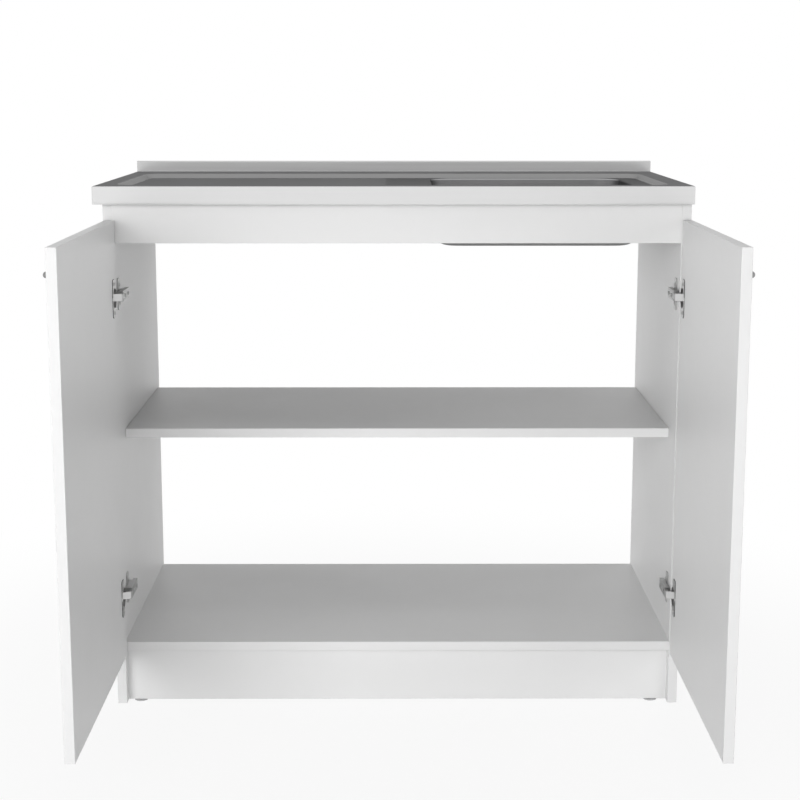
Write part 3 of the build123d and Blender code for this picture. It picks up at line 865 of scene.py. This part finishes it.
@dataclass(frozen=True)
class ShelfPin:
    """Ribbed shelf pin in mm: its root in the side, its smooth end proud of it."""

    radius: float = 2.5
    proud: float = 8.0
    root: float = 7.9
    ribs: int = 5

    def shape(self) -> Mesh:
        """Build the pin with the board's face at the origin.

        Returns:
            The closed mesh.
        """
        radius, tip = self.radius, self.proud
        profile = [(0.0, -self.root), (radius * 0.8, -self.root)]
        for rib in range(self.ribs):
            height = -self.root + 0.8 + rib * 1.4
            profile += [(radius * 0.98, height), (radius * 0.88, height + 0.7)]
        profile += [(radius, 0.0), (radius, tip - 1.0), (radius - 0.35, tip - 0.3), (radius - 1.0, tip)]
        return lathe([*profile, (0.0, tip)], steps=28)


# ---------------------------------------------------------------- boards


@dataclass
class Board:
    """One furniture board: its core from the CAD solid, and strips on its edged sides."""

    node: str
    body: str
    edged: tuple[Edge, ...]
    thin_axis: int
    raw_edges: bool = True
    strip: float = 0.9 * MM
    rounding: float = 0.5 * MM

    def build(self, palette: Palette) -> None:
        """Build the core and its edging.

        Args:
            palette: the materials.
        """
        core = merged_copy(self.node)
        strips = [self.cut_strip(core, edge) for edge in self.edged]
        for face in core.faces:
            if self.raw_edges and abs(face.normal[self.thin_axis]) < 0.5:
                face.material_index = 1
        round_sharp(core, 0.15 * MM, segments=1, shortest=30 * MM)
        for bm, part, sharp, finishes in (
            (core, "board", 32.0, ("board", "chipboard")),
            (pour(strips), "edging", 60.0, ("edging",)),
        ):
            piece = object_from(bm, f"{self.node}_{part}")
            materials = (palette[finish] for finish in finishes)
            finish_piece(piece, self.body, "white_board", [self.node], *materials, sharp=sharp)

    def cut_strip(self, core: Mesh, edge: Edge) -> Mesh:
        """Cut the core back on one side and make the strip of edging that fills the cut.

        Args:
            core: the board's mesh.
            edge: the side.

        Returns:
            The strip, its outer edges rounded.
        """
        first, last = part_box(self.node)
        axis, end = edge.value
        face = (last if end else first)[axis]
        normal = Vector((0, 0, 0))
        normal[axis] = 1.0 if end else -1.0
        inner = first if end else last
        inner[axis] = face - normal[axis] * self.strip
        everything = [*core.verts, *core.edges, *core.faces]
        plane = {"plane_co": inner, "plane_no": normal, "clear_outer": True, "dist": TINY}
        cut = bmesh.ops.bisect_plane(core, geom=everything, **plane)
        rim = [item for item in cut["geom_cut"] if isinstance(item, bmesh.types.BMEdge)]
        bmesh.ops.holes_fill(core, edges=rim, sides=0)
        if axis == 2:
            first.y += self.strip if Edge.FRONT in self.edged else 0.0
            last.y -= self.strip if Edge.BACK in self.edged else 0.0
        strip = box_mesh(first, last)
        outer = [item for item in strip.edges if all(abs(v.co[axis] - face) < WELD for v in item.verts)]
        round_edges(strip, outer, self.rounding, segments=3)
        return strip


def cabinet_boards() -> list[Board]:
    """Every board with the edges that carry edging.

    Returns:
        The boards.
    """
    front = (Edge.FRONT,)
    boards = [Board(f"side_panel_{side.word}", CABINET, front, 0) for side in Side]
    boards += [Board(name, CABINET, front, 2) for name in ("bottom_panel", "shelf")]
    boards += [Board(name, CABINET, (Edge.BELOW,), 1) for name in ("front_rail", "rear_rail", "plinth")]
    door = {"raw_edges": False, "strip": 1.3 * MM, "rounding": 1.0 * MM}
    boards += [Board(f"door_{side.word}", side.body("door"), tuple(Edge), 0, **door) for side in Side]
    return boards


# ---------------------------------------------------------------- sink top


DECK, APRON, SLOPE, BOWL = range(4)


@dataclass
class PressedSink:
    """The steel sink top: skirt, deck, sunken drainer, bowl with its waste seat, and upstand."""

    sheet: float = 1.0 * MM
    upstand_depth: float = 14.0 * MM
    upstand_height: float = 20.0 * MM
    upstand_rounding: float = 2.0 * MM
    upstand_cove: float = 0.9 * MM
    skirt: float = 30.0 * MM
    hem: float = 4.0 * MM
    deck_rounding: float = 1.6 * MM
    corner: float = 3.0 * MM
    recess_low: Point = (-474.7 * MM, 18.0 * MM)
    recess_high: Point = (457.9 * MM, 400.0 * MM)
    recess_depth: float = 8.0 * MM
    recess_corner: float = 22.0 * MM
    slope_run: Point = (9.0 * MM, 13.0 * MM)
    slope_softness: float = 0.16
    slope_steps: int = 12
    bowl_low: Point = (62.0 * MM, 34.0 * MM)
    bowl_high: Point = (414.0 * MM, 379.0 * MM)
    bowl_corner: float = 45.0 * MM
    bowl_floor: float = 804.5 * MM
    bowl_rounding: float = 24.0 * MM
    rim_rounding: float = 2.4 * MM
    seat_radius: float = 43.0 * MM
    drain_radius: float = 30.0 * MM
    corner_steps: int = 14
    side_steps: tuple[int, int] = (10, 16)

    def __post_init__(self) -> None:
        """Read the outer sizes from the frame."""
        self.low, self.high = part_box("sink_top")
        self.deck = self.high.z - self.upstand_height

    def ring(self, low: Sequence[float], high: Sequence[float], radius: float, height: float) -> Loop:
        """A rounded rectangle at one height, always with the same count of points.

        Args:
            low: its lowest X and Y.
            high: its highest X and Y.
            radius: its corner radius.
            height: its Z.

        Returns:
            The points, anticlockwise from the right of the front side.
        """
        left, right = low[0] + radius, high[0] - radius
        front, back = low[1] + radius, high[1] - radius
        corners: list[Loop] = []
        for quarter, centre in enumerate(((right, front), (right, back), (left, back), (left, front))):
            bend = arc(centre, radius, 90 * quarter - 90, 90 * quarter, self.corner_steps)
            corners.append([Vector((*point, height)) for point in bend])
        points: Loop = []
        for corner, following, steps in zip(corners, corners[1:] + corners[:1], self.side_steps * 2):
            points += corner
            points += [corner[-1].lerp(following[0], step / steps) for step in range(1, steps)]
        return points

    def rolled(self, outline: Outline, level: float, sizes: Point, angles: Iterable[int]) -> list[Loop]:
        """Rings round a rolled or rounded edge.

        Args:
            outline: the rounded rectangle at angle 0.
            level: its Z.
            sizes: how far the edge goes in, or out if negative, and up, or down if negative.
            angles: the angles of the rings in degrees.

        Returns:
            The rings.
        """
        rings = []
        low, high, corner = outline
        for turn in (math.radians(angle) for angle in angles):
            inset = sizes[0] * (1 - math.cos(turn))
            shift = Vector((inset, inset))
            height = level + sizes[1] * math.sin(turn)
            rings.append(self.ring(Vector(low) + shift, Vector(high) - shift, corner - inset, height))
        return rings

    def skirt_rings(self) -> list[Loop]:
        """The folded skirt and its rounded top edge, up to the flat deck.

        Returns:
            The rings.
        """
        outline = (self.low.xy, self.high.xy, self.corner)
        foot, rounding = self.deck - self.skirt, self.deck_rounding
        rings = [self.ring(*outline, height) for height in (foot, foot + self.hem)]
        return rings + self.rolled(outline, self.deck - rounding, (rounding, rounding), range(0, 91, 15))

    def slope_rings(self) -> list[Loop]:
        """The slope from the deck to the drainer's floor, softened at both ends.

        Returns:
            The rings.
        """
        rings = []
        soft = self.slope_softness
        for step in range(self.slope_steps + 1):
            along = step / self.slope_steps
            if along < soft:
                fall = along * along / (2 * soft)
            elif along > 1 - soft:
                fall = 1 - soft - (1 - along) ** 2 / (2 * soft)
            else:
                fall = along - soft / 2
            shift = Vector(self.slope_run) * along
            corner = self.recess_corner + self.slope_run[0] * (1 - along)
            height = self.deck - self.recess_depth * fall / (1 - soft)
            low, high = Vector(self.recess_low) + shift, Vector(self.recess_high) - shift
            rings.append(self.ring(low, high, corner, height))
        return rings

    def bowl_rings(self) -> list[Loop]:
        """The bowl from its rolled rim to its floor.

        Returns:
            The rings.
        """
        outline = (self.bowl_low, self.bowl_high, self.bowl_corner)
        rim, foot = self.rim_rounding, self.bowl_rounding
        rings = self.rolled(outline, self.deck - self.recess_depth - rim, (-rim, rim), range(90, -1, -15))
        return rings + self.rolled(outline, self.bowl_floor + foot, (foot, -foot), range(0, 91, 9))

    def waste_rings(self, like: Loop) -> list[Loop]:
        """The sunken seat of the waste, down to the edge of the hole.

        Args:
            like: the bowl's last ring, whose points the circles match.

        Returns:
            The rings.
        """
        centre = (Vector(self.bowl_low) + Vector(self.bowl_high)) / 2
        ways = [(point.xy - centre).normalized() for point in like]
        seat = ((1.5, 0.0), (0.5, -0.4), (0.0, -1.4), (-0.3, -3.0), (-1.4, -3.9), (-2.6, -4.0))
        hole = ((0.8, -4.0), (0.0, -4.2))
        return [
            [Vector((*(centre + way * (radius + out * MM)), self.bowl_floor + rise * MM)) for way in ways]
            for radius, steps in ((self.seat_radius, seat), (self.drain_radius, hole))
            for out, rise in steps
        ]

    def build(self, palette: Palette) -> None:
        """Build the pressed sheet and the upstand.

        Args:
            palette: the materials.
        """
        skirt, slope = self.skirt_rings(), self.slope_rings()
        rings = skirt + slope + self.bowl_rings()
        rings += self.waste_rings(rings[-1])
        # the last two bands of the rounded edge take the deck's finish, like the flat band after them
        folded = [APRON] * (len(skirt) - 3) + [DECK] * 3
        zones = folded + [SLOPE] * (len(slope) - 1) + [DECK] + [BOWL] * len(rings)
        bm = bmesh.new()
        made = [[bm.verts.new(point) for point in ring] for ring in rings]
        for outer, inner, zone in zip(made, made[1:], zones):
            join_rings(bm, outer, inner, zone)
        sheet = object_from(bm, "sink_sheet")
        wall = sheet.modifiers.new("sheet", "SOLIDIFY")
        wall.thickness = self.sheet
        wall.offset = -1.0
        # the apron and the slope take lighter and darker copies of the deck's steel: painted reflection and
        # painted shade
        above, below = ("sink", "apron", "slope", "sink"), ("coat", "coat", "coat", "underside")
        wall.material_offset = len(above)
        weigh_normals(sheet)
        materials = (palette[finish] for finish in above + below)
        finish_piece(sheet, CABINET, "sink_steel", ["sink_top"], *materials)
        self.upstand(palette)

    def upstand(self, palette: Palette) -> None:
        """The folded upstand along the rear edge, with a soft foot and rounded top.

        Args:
            palette: the materials.
        """
        front, back = self.high.y - self.upstand_depth, self.high.y
        foot, top = self.deck - 0.3 * MM, self.high.z
        radius, cove = self.upstand_rounding, self.upstand_cove
        outline = [(front - cove, foot), *arc((front - cove, self.deck + cove), cove, -90, 0, 4)]
        outline += arc((front + radius, top - radius), radius, 180, 90, 5)
        outline += [*arc((back - radius, top - radius), radius, 90, 0, 5), (back, foot)]
        bm = bmesh.new()
        ends = [[bm.verts.new((x, *point)) for point in outline] for x in (self.low.x, self.high.x)]
        bm.faces.new(ends[0][::-1])
        bm.faces.new(ends[1])
        join_rings(bm, *ends)
        bmesh.ops.recalc_face_normals(bm, faces=bm.faces)
        piece = object_from(bm, "sink_upstand")
        # the upstand takes a lighter copy of the deck's steel, a painted reflection
        finish_piece(piece, CABINET, "sink_steel", ["sink_top"], palette["upstand"], sharp=40.0)


# ---------------------------------------------------------------- hinges and knobs


@dataclass
class CupHinge:
    """One cup hinge, in mm: cup, arm, mounting plate and link, on their CAD solids' sizes."""

    side: Side
    height: str
    cup_radius: float = 17.4
    cup_wall: float = 0.8
    cup_depth: float = 11.5
    cup_foot: float = 2.2
    flange: float = 1.0
    flange_chamfer: float = 0.3
    flange_heart: float = 4.0
    lip: float = 0.35
    ear_near: float = -4.5
    ear_far: float = 17.5
    ear_corner: float = 6.0
    disc: float = 18.0
    rib: Point = (5.0, 6.4)
    ear_screws: float = 24.0
    plate_sheet: float = 2.0
    plate_line: float = 37.0
    plate_screws: float = 16.0
    arm_lines: Point = (20.0, 49.0)

    def node(self, part: str) -> str:
        """The CAD node of one part of this hinge."""
        return f"{part}_{self.side.word}_{self.height}"

    def build(self, palette: Palette) -> None:
        """Build the hinge's pieces.

        Args:
            palette: the materials.
        """
        self.cup(palette)
        for part, body, rounding, details in (
            ("hinge_arm", CABINET, 0.35, self.arm_details()),
            ("mounting_plate", CABINET, 0.45, self.plate_details()),
            ("hinge_link", self.side.body("links"), 0.18, []),
        ):
            node = self.node(part)
            shell = merged_copy(node)
            round_sharp(shell, rounding * MM, segments=2, shortest=1.2 * MM)
            piece = object_from(pour([shell, *details]), f"{node}_shell")
            finish_piece(piece, body, "hinge_steel", [node], palette["plated"], sharp=32.0)

    def arm_details(self) -> list[Mesh]:
        """Pressed ribs along the arm's back and the thumb latch at its rear end.

        Returns:
            The small closed meshes, each sunk a little in the arm.
        """
        node, sign = self.node("hinge_arm"), self.side.value
        back = Vector((self.side.face(node), 0, middle(node).z))
        near, far = self.rib
        details = []
        for first, last, rounding in (
            ((-0.3, 5.0, -far), (0.35, 56.0, -near), 0.25),
            ((-0.3, 5.0, near), (0.35, 56.0, far), 0.25),
            ((-2.9, 59.9, -4.0), (-1.0, 61.9, 4.0), 0.6),
        ):
            block = box_mesh(*(back + Vector((sign * x, y, z)) * MM for x, y, z in (first, last)))
            round_sharp(block, rounding * MM, segments=2, shortest=0.0)
            details.append(block)
        return details

    def plate_details(self) -> list[Mesh]:
        """Raised pads round the plate's two screws.

        Returns:
            The small closed meshes, each sunk a little in the plate.
        """
        profile = [(3.5, -0.3), (6.6, -0.3), (6.6, 0.1), (6.2, 0.35), (4.0, 0.35), (3.5, 0.1)]
        pads = []
        for spot in self.screw_spots()["plate_screws"]:
            pad = lathe([*profile, profile[0]], steps=28)
            bmesh.ops.remove_doubles(pad, verts=pad.verts, dist=TINY)
            pad.transform(aimed(*spot))
            pads.append(pad)
        return pads

    def screw_spots(self) -> dict[str, list[Spot]]:
        """Where this hinge's screws stand.

        Returns:
            The CAD node of the screws to their spots.
        """
        side, cup = self.side, self.node("hinge_cup")
        face, level = side.face(cup), middle(cup).z
        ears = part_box(cup)[1].y - (self.disc + self.ear_corner) * MM
        wall = side.face(self.node("mounting_plate"), inward=False) + side.value * self.plate_sheet * MM
        arm, line = side.face(self.node("hinge_arm")), self.plate_line * MM
        places = {
            f"cup_screws_{side.word}": [(face, ears, level + end * self.ear_screws * MM) for end in ENDS],
            "plate_screws": [(wall, line, level + end * self.plate_screws * MM) for end in ENDS],
            "arm_screws": [(arm, row * MM, level) for row in self.arm_lines],
        }
        return {name: [Spot(place, side.into) for place in group] for name, group in places.items()}

    def cup(self, palette: Palette) -> None:
        """The deep drawn cup with its flange, two ears and a rolled lip.

        Args:
            palette: the materials.
        """
        node, sign = self.node("hinge_cup"), self.side.value
        low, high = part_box(node)
        face = self.side.face(node) - sign * self.flange * MM
        along = high.y - self.disc * MM
        frame = Matrix(((0, 0, sign, face), (0, -1, 0, along), (sign, 0, 0, middle(node).z), (0, 0, 0, 1)))
        outer, soft = self.cup_radius, self.cup_foot
        inner, floor, foot = outer - self.cup_wall, self.cup_wall - self.cup_depth, -self.cup_depth
        lip = self.flange + self.lip
        profile = [(0.0, floor), *arc((inner - soft, floor + soft), soft, -90, 0, 5)]
        profile += [(inner, lip - 0.5), (inner + 0.15, lip - 0.1), (inner + 0.5, lip)]
        profile += [(inner + 0.95, lip - 0.1), (inner + 1.1, self.flange * 0.5), (outer, 0.0)]
        profile += [(outer, foot + 1.5), (outer - 1.5, foot), (0.0, foot)]
        flange = self.flange_mesh(inner + 0.9, (high.z - low.z) / 2 / MM)
        whole = pour([lathe(profile, steps=64), flange])
        bmesh.ops.recalc_face_normals(whole, faces=whole.faces)
        whole.transform(frame)
        piece = object_from(whole, f"{node}_shell")
        # the flange's rim takes the near-black painted shade
        materials = (palette["plated"], palette["rim_shade"])
        finish_piece(piece, self.side.body("door"), "hinge_steel", [node], *materials, sharp=35.0)

    def flange_mesh(self, mouth: float, half: float) -> Mesh:
        """The flange with its round mouth, in the cup's own frame (X up, Y away from the door's edge).

        Args:
            mouth: the radius of its opening.
            half: half its height.

        Returns:
            The closed mesh.
        """
        start = math.degrees(math.atan2(self.ear_near, math.sqrt(self.disc**2 - self.ear_near**2)))
        corner, side = self.ear_corner, half - self.ear_corner
        near, far = self.ear_near + corner, self.ear_far - corner
        outline = arc((0, 0), self.disc, start, -180 - start, 28)
        ears = (((-side, near), -90), ((-side, far), 180), ((side, far), 90), ((side, near), 0))
        for centre, turn in ears:
            outline += arc(centre, corner, turn, turn - 90, 6)
        bm = bmesh.new()
        layers, holes = [], []
        chamfer, heart = self.flange_chamfer, self.flange_heart
        for height, inset in ((0.0, 0.0), (self.flange - chamfer, 0.0), (self.flange, chamfer)):
            inward = [Vector((x, y - heart)).normalized() * inset for x, y in outline]
            points = [Vector(point) - shift for point, shift in zip(outline, inward)]
            layers.append([bm.verts.new(Vector((*point, height)) * MM) for point in points])
        for height in (self.flange, 0.0):
            points = arc((0, 0), mouth, 0, 360, 64)[:-1]
            holes.append([bm.verts.new(Vector((*point, height)) * MM) for point in points])
        for first, second in zip(layers, layers[1:]):
            # the rim's faces take the second material: near-black painted shade
            join_rings(bm, first, second, 1)
        join_rings(bm, *holes)
        fill_between(bm, layers[-1], holes[0])
        fill_between(bm, layers[0], holes[1])
        bmesh.ops.recalc_face_normals(bm, faces=bm.faces)
        return bm


@dataclass
class Knob:
    """Small turned knob in mm, with a domed head on a waisted neck."""

    side: Side
    neck: float = 3.2
    head: float = 4.9
    projection: float = 12.0
    shoulder: float = 7.9
    dome_steps: int = 8

    def build(self, palette: Palette) -> None:
        """Build the knob.

        Args:
            palette: the materials.
        """
        node = f"knob_{self.side.word}"
        rise = self.projection - self.shoulder
        radius = (self.head**2 + rise**2) / (2 * rise)
        edge = math.degrees(math.atan2(radius - rise, self.head))
        dome = arc((0.0, self.projection - radius), radius, edge, 90, self.dome_steps)
        neck, head = self.neck, self.head
        profile = [(0.0, -10.9), (1.9, -10.9), (1.9, 0.0), (neck + 0.8, 0.02), (neck + 0.7, 0.5)]
        profile += [(neck + 0.1, 1.2), (neck - 0.1, 3.0), (neck + 0.1, 4.8), (neck + 0.7, 5.7)]
        profile += [(head - 0.5, 6.2), (head - 0.1, 6.5), (head, 7.0), *dome[:-1], (0.0, self.projection)]
        bm = lathe(profile, steps=40)
        foot = middle(node)
        foot.x = self.side.face(node, inward=False) + self.side.value * self.projection * MM
        bm.transform(aimed(foot, -self.side.into))
        piece = object_from(bm, f"{node}_turned")
        finish_piece(piece, self.side.body("door"), "knob_steel", [node], palette["knob"], sharp=50.0)


# ---------------------------------------------------------------- fasteners and glides


@dataclass
class Fasteners:
    """Screws, cams, pins, glides and brackets, all set by one copy tree."""

    palette: Palette
    copier: CopyTree = field(default_factory=CopyTree)
    arm_shank: float = 8.4
    cam_inset: float = 34.0 * MM
    cam_rows: Point = (60.0 * MM, 435.0 * MM)
    rail_cam_height: float = 882.5 * MM
    bracket_line: float = 445.0 * MM
    bracket_sheet: float = 1.5 * MM
    bracket_rail_x: float = 250.0 * MM
    bracket_leg: float = 20.0 * MM
    chance_turn: float = 1.5

    def build(self) -> None:
        """Set every fastener."""
        self.hinge_screws()
        self.cams()
        self.shelf_pins()
        self.brackets()
        self.glides()
        self.plain_hardware()

    def fasten(
        self, shape: Mesh, spots: Sequence[Spot], name: str, nodes: Sequence[str], finish: str = "plated",
        *, body: str = CABINET, slot: str = "hinge_steel", sharp: float = 0.0, spread: float = 0.0,
        seed: int = 7,
    ) -> None:
        """Set copies of one fastener and finish them as one piece.

        Args:
            shape: the fastener round its own origin.
            spots: where its copies go.
            name: the piece's name.
            nodes: the CAD nodes that it stands for.
            finish: the palette's word for its material.
            body: the body that it rides on.
            slot: passed on to finish_piece, which does not use it.
            sharp: the angle from which its edges are crisp, or 0.
            spread: the largest chance turn of a copy, in radians.
            seed: the seed of those turns.
        """
        piece = self.copier.set_copies(shape, spots, name, self.palette[finish], spread, seed)
        finish_piece(piece, body, slot, nodes, sharp=sharp)

    def hinge_screws(self) -> None:
        """The screws of the cups, the mounting plates and the arms."""
        spots: dict[str, list[Spot]] = {}
        for side in Side:
            for height in HEIGHTS:
                for name, group in CupHinge(side, height).screw_spots().items():
                    spots.setdefault(name, []).extend(group)
        rows = [(f"cup_screws_{side.word}", CrossScrew(), side.body("door"), 3) for side in Side]
        rows.append(("plate_screws", CrossScrew(), CABINET, 5))
        rows.append(("arm_screws", CrossScrew(self.arm_shank), CABINET, 11))
        for name, screw, body, seed in rows:
            turned = {"spread": self.chance_turn, "seed": seed}
            self.fasten(screw.shape(), spots[name], f"{name}_set", [name], body=body, **turned)

    def cams(self) -> None:
        """The cams under the bottom panel and in the rear faces of both rails."""
        low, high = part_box("bottom_panel")
        backs = [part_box(rail)[1].y for rail in ("front_rail", "rear_rail")]
        spots: list[Spot] = []
        for end in (low.x + self.cam_inset, high.x - self.cam_inset):
            spots += [Spot((end, row, low.z), (0, 0, -1)) for row in self.cam_rows]
            spots += [Spot((end, back, self.rail_cam_height), (0, 1, 0)) for back in backs]
        turned = {"sharp": 35.0, "spread": 3.0, "seed": 17}
        self.fasten(CamDisc().shape(), spots, "cam_disc_set", ["cam_housings"], "zinc", **turned)

    def shelf_pins(self) -> None:
        """The four pins that the shelf rests on."""
        low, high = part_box("shelf_pins")
        pin = ShelfPin()
        rows = (low.y + pin.radius * MM, high.y - pin.radius * MM)
        level = middle("shelf_pins").z
        spots: list[Spot] = []
        for side in Side:
            face = side.face(f"side_panel_{side.word}")
            spots += [Spot((face, row, level), side.into) for row in rows]
        self.fasten(pin.shape(), spots, "shelf_pin_set", ["shelf_pins"], sharp=40.0)

    def brackets(self) -> None:
        """The angle brackets under the sink top and their screws."""
        bm = merged_copy("sink_brackets")
        round_sharp(bm, 0.35 * MM, segments=2, shortest=1.0 * MM)
        angles = object_from(bm, "sink_bracket_set")
        finish_piece(angles, CABINET, "hinge_steel", ["sink_brackets"], self.palette["zinc"], sharp=32.0)
        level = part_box("sink_brackets")[1].z - self.bracket_leg / 2
        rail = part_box("rear_rail")[0].y - self.bracket_sheet
        spots: list[Spot] = []
        for side in Side:
            inner = side.face(f"side_panel_{side.word}") + side.value * self.bracket_sheet
            spots.append(Spot((inner, self.bracket_line, level), side.into))
            spots.append(Spot((side.value * self.bracket_rail_x, rail, level), (0, -1, 0)))
        turned = {"spread": self.chance_turn, "seed": 23}
        self.fasten(CrossScrew().shape(), spots, "bracket_screw_set", ["bracket_screws"], **turned)

    def glides(self) -> None:
        """The nailed glides under the plinth and the sides."""
        profile = [(0.0, 0.9), (3.2, 0.9), (4.0, 0.0), (10.8, 0.0), (11.7, 0.4), (12.0, 1.1), (12.0, 2.9)]
        profile += [(1.0, 3.0), (0.95, 14.0), (0.0, 15.0)]
        names = [f"glide_{end}_{side.word}" for end in ("front", "back") for side in Side]
        spots = [Spot((*middle(name).xy, 0.0), (0, 0, 1)) for name in names]
        glide = lathe(profile, steps=40)
        self.fasten(glide, spots, "glide_set", names, "plastic", slot="glide_plastic", sharp=40.0)

    def plain_hardware(self) -> None:
        """Dress the hidden hardware whose CAD shape is right as it is."""
        finishes = {"dowels": "wood"}
        finishes |= dict.fromkeys(("cam_bolts", "arm_pins", "cup_pins_left", "cup_pins_right"), "plated")
        for name, finish in finishes.items():
            slots = bpy.data.objects[name].material_slots
            for slot in slots:
                slot.material = self.palette[finish]
            log.info("%s takes %s on %d slots", name, finish, len(slots))


# ---------------------------------------------------------------- studio


@dataclass(frozen=True)
class Lamp:
    """One soft area lamp aimed at a point, for matt surfaces or for gloss only."""

    name: str
    place: Place
    aim: Place
    size: Point
    power: float
    for_gloss: bool = False

    def build(self) -> None:
        """Make the lamp."""
        data = bpy.data.lights.new(self.name, "AREA")
        data.shape = "RECTANGLE"
        data.size, data.size_y = self.size
        data.energy = self.power
        obj = linked(self.name, data)
        obj.location = self.place
        obj.rotation_mode = "QUATERNION"
        obj.rotation_quaternion = (Vector(self.aim) - Vector(self.place)).to_track_quat("-Z", "Y")
        obj.visible_glossy = self.for_gloss
        obj.visible_diffuse = not self.for_gloss
        obj.visible_camera = False


LAMPS = (
    Lamp("front_softbox", (-1.5, -4.1, 1.25), (0.0, 0.0, 0.45), (3.0, 2.2), 123.0),
    Lamp("right_softbox", (2.6, -3.4, 0.8), (0.0, 0.0, 0.4), (2.2, 1.6), 27.0),
    Lamp("overhead_softbox", (0.0, -0.2, 3.4), (0.0, 0.1, 0.5), (2.6, 2.0), 12.0),
    Lamp("rear_strip", (0.0, 3.4, 0.36), (0.0, 0.5, 0.36), (3.0, 0.6), 24.0),
    Lamp("left_side_panel", (-4.2, 0.9, 1.0), (-0.5, 0.4, 0.5), (1.8, 1.8), 34.0),
    Lamp("right_side_panel", (4.2, 0.9, 1.0), (0.5, 0.4, 0.5), (1.8, 1.8), 34.0),
    Lamp("left_sheen_card", (-2.3, -4.0, 0.7), (-0.4, 0.0, 0.8), (1.9, 2.6), 7.0, for_gloss=True),
)


@dataclass
class Studio:
    """Pale floor, white surroundings, soft lamps and the camera of the photograph."""

    eye: Place = (-3.4, -2819.8, 1068.8)
    pitch: float = 10.503
    yaw: float = 0.161
    lens: float = 75.72
    sensor: float = 36.0
    ambient: float = 0.22
    floor_size: float = 60.0
    floor_colour: float = 0.83
    fade: Point = (0.4, 1.5)
    fade_start: float = 0.88

    def build(self) -> None:
        """Make the floor, the world, the lamps and the camera."""
        self.floor()
        self.world()
        for lamp in LAMPS:
            lamp.build()
        self.camera()
        bpy.context.scene.view_settings.view_transform = "Standard"

    @staticmethod
    def seen(sheet: NodeSheet) -> Socket:
        """A mask for what the camera sees, also in metal and through glass.

        Args:
            sheet: the tree.

        Returns:
            The mask socket.
        """
        rays = sheet.add("ShaderNodeLightPath").outputs
        direct = sheet.maths("MAXIMUM", rays["Is Camera Ray"], rays["Is Glossy Ray"])
        return sheet.maths("MAXIMUM", direct, rays["Is Transmission Ray"])

    def floor(self) -> None:
        """A wide pale floor that keeps the shadow and fades to white further out."""
        half = self.floor_size / 2
        slab = box_mesh(Vector((-half, -half, -0.1)), Vector((half, half, 0.0)))
        floor = object_from(slab, "floor", smooth=False)
        material = bpy.data.materials.new("pale_floor")
        material.use_nodes = True
        sheet = NodeSheet(material.node_tree)
        sheet.tree.nodes.remove(sheet.tree.nodes["Principled BSDF"])
        coords = sheet.add("ShaderNodeTexCoord").outputs["Object"]
        distance = sheet.add("ShaderNodeVectorMath", {0: coords}, operation="LENGTH").outputs["Value"]
        start, end = self.fade
        limits = {"Value": distance, "From Min": start, "From Max": end, "To Min": self.fade_start}
        far = sheet.add("ShaderNodeMapRange", limits, interpolation_type="SMOOTHSTEP").outputs["Result"]
        share = sheet.maths("MULTIPLY", far, self.seen(sheet))
        matt = sheet.add("ShaderNodeBsdfDiffuse", {"Color": grey(self.floor_colour)}).outputs[0]
        white = sheet.add("ShaderNodeEmission").outputs[0]
        blend = sheet.add("ShaderNodeMixShader", {0: share, 1: matt, 2: white})
        sheet.link(blend.outputs[0], sheet.tree.nodes["Material Output"].inputs["Surface"])
        floor.data.materials.append(material)

    def world(self) -> None:
        """White where it is seen, and a plain ambient level for the light."""
        world = bpy.data.worlds.new("studio")
        bpy.context.scene.world = world
        world.use_nodes = True
        sheet = NodeSheet(world.node_tree)
        sheet.tree.nodes.clear()
        strength = sheet.maths("MAXIMUM", self.seen(sheet), self.ambient)
        sky = sheet.add("ShaderNodeBackground", {"Color": grey(1.0), "Strength": strength})
        sheet.add("ShaderNodeOutputWorld", {"Surface": sky.outputs[0]})

    def camera(self) -> None:
        """The photograph's camera, from its fitted place, tilt and lens."""
        data = bpy.data.cameras.new("photo_camera")
        data.lens = self.lens
        data.sensor_width = self.sensor
        data.clip_start, data.clip_end = 0.05, 100.0
        obj = linked("photo_camera", data)
        obj.location = Vector(self.eye) * MM
        obj.rotation_euler = (math.radians(90 - self.pitch), 0, math.radians(-self.yaw))
        bpy.context.scene.camera = obj


# ---------------------------------------------------------------- the whole cabinet


def main() -> None:
    """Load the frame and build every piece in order."""
    logging.basicConfig(level=logging.INFO, format="%(name)s: %(message)s")
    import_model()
    palette = build_palette()
    for board in cabinet_boards():
        board.build(palette)
    PressedSink().build(palette)
    for side in Side:
        for height in HEIGHTS:
            CupHinge(side, height).build(palette)
        Knob(side).build(palette)
    Fasteners(palette).build()
    Studio().build()


if __name__ == "__main__":
    main()
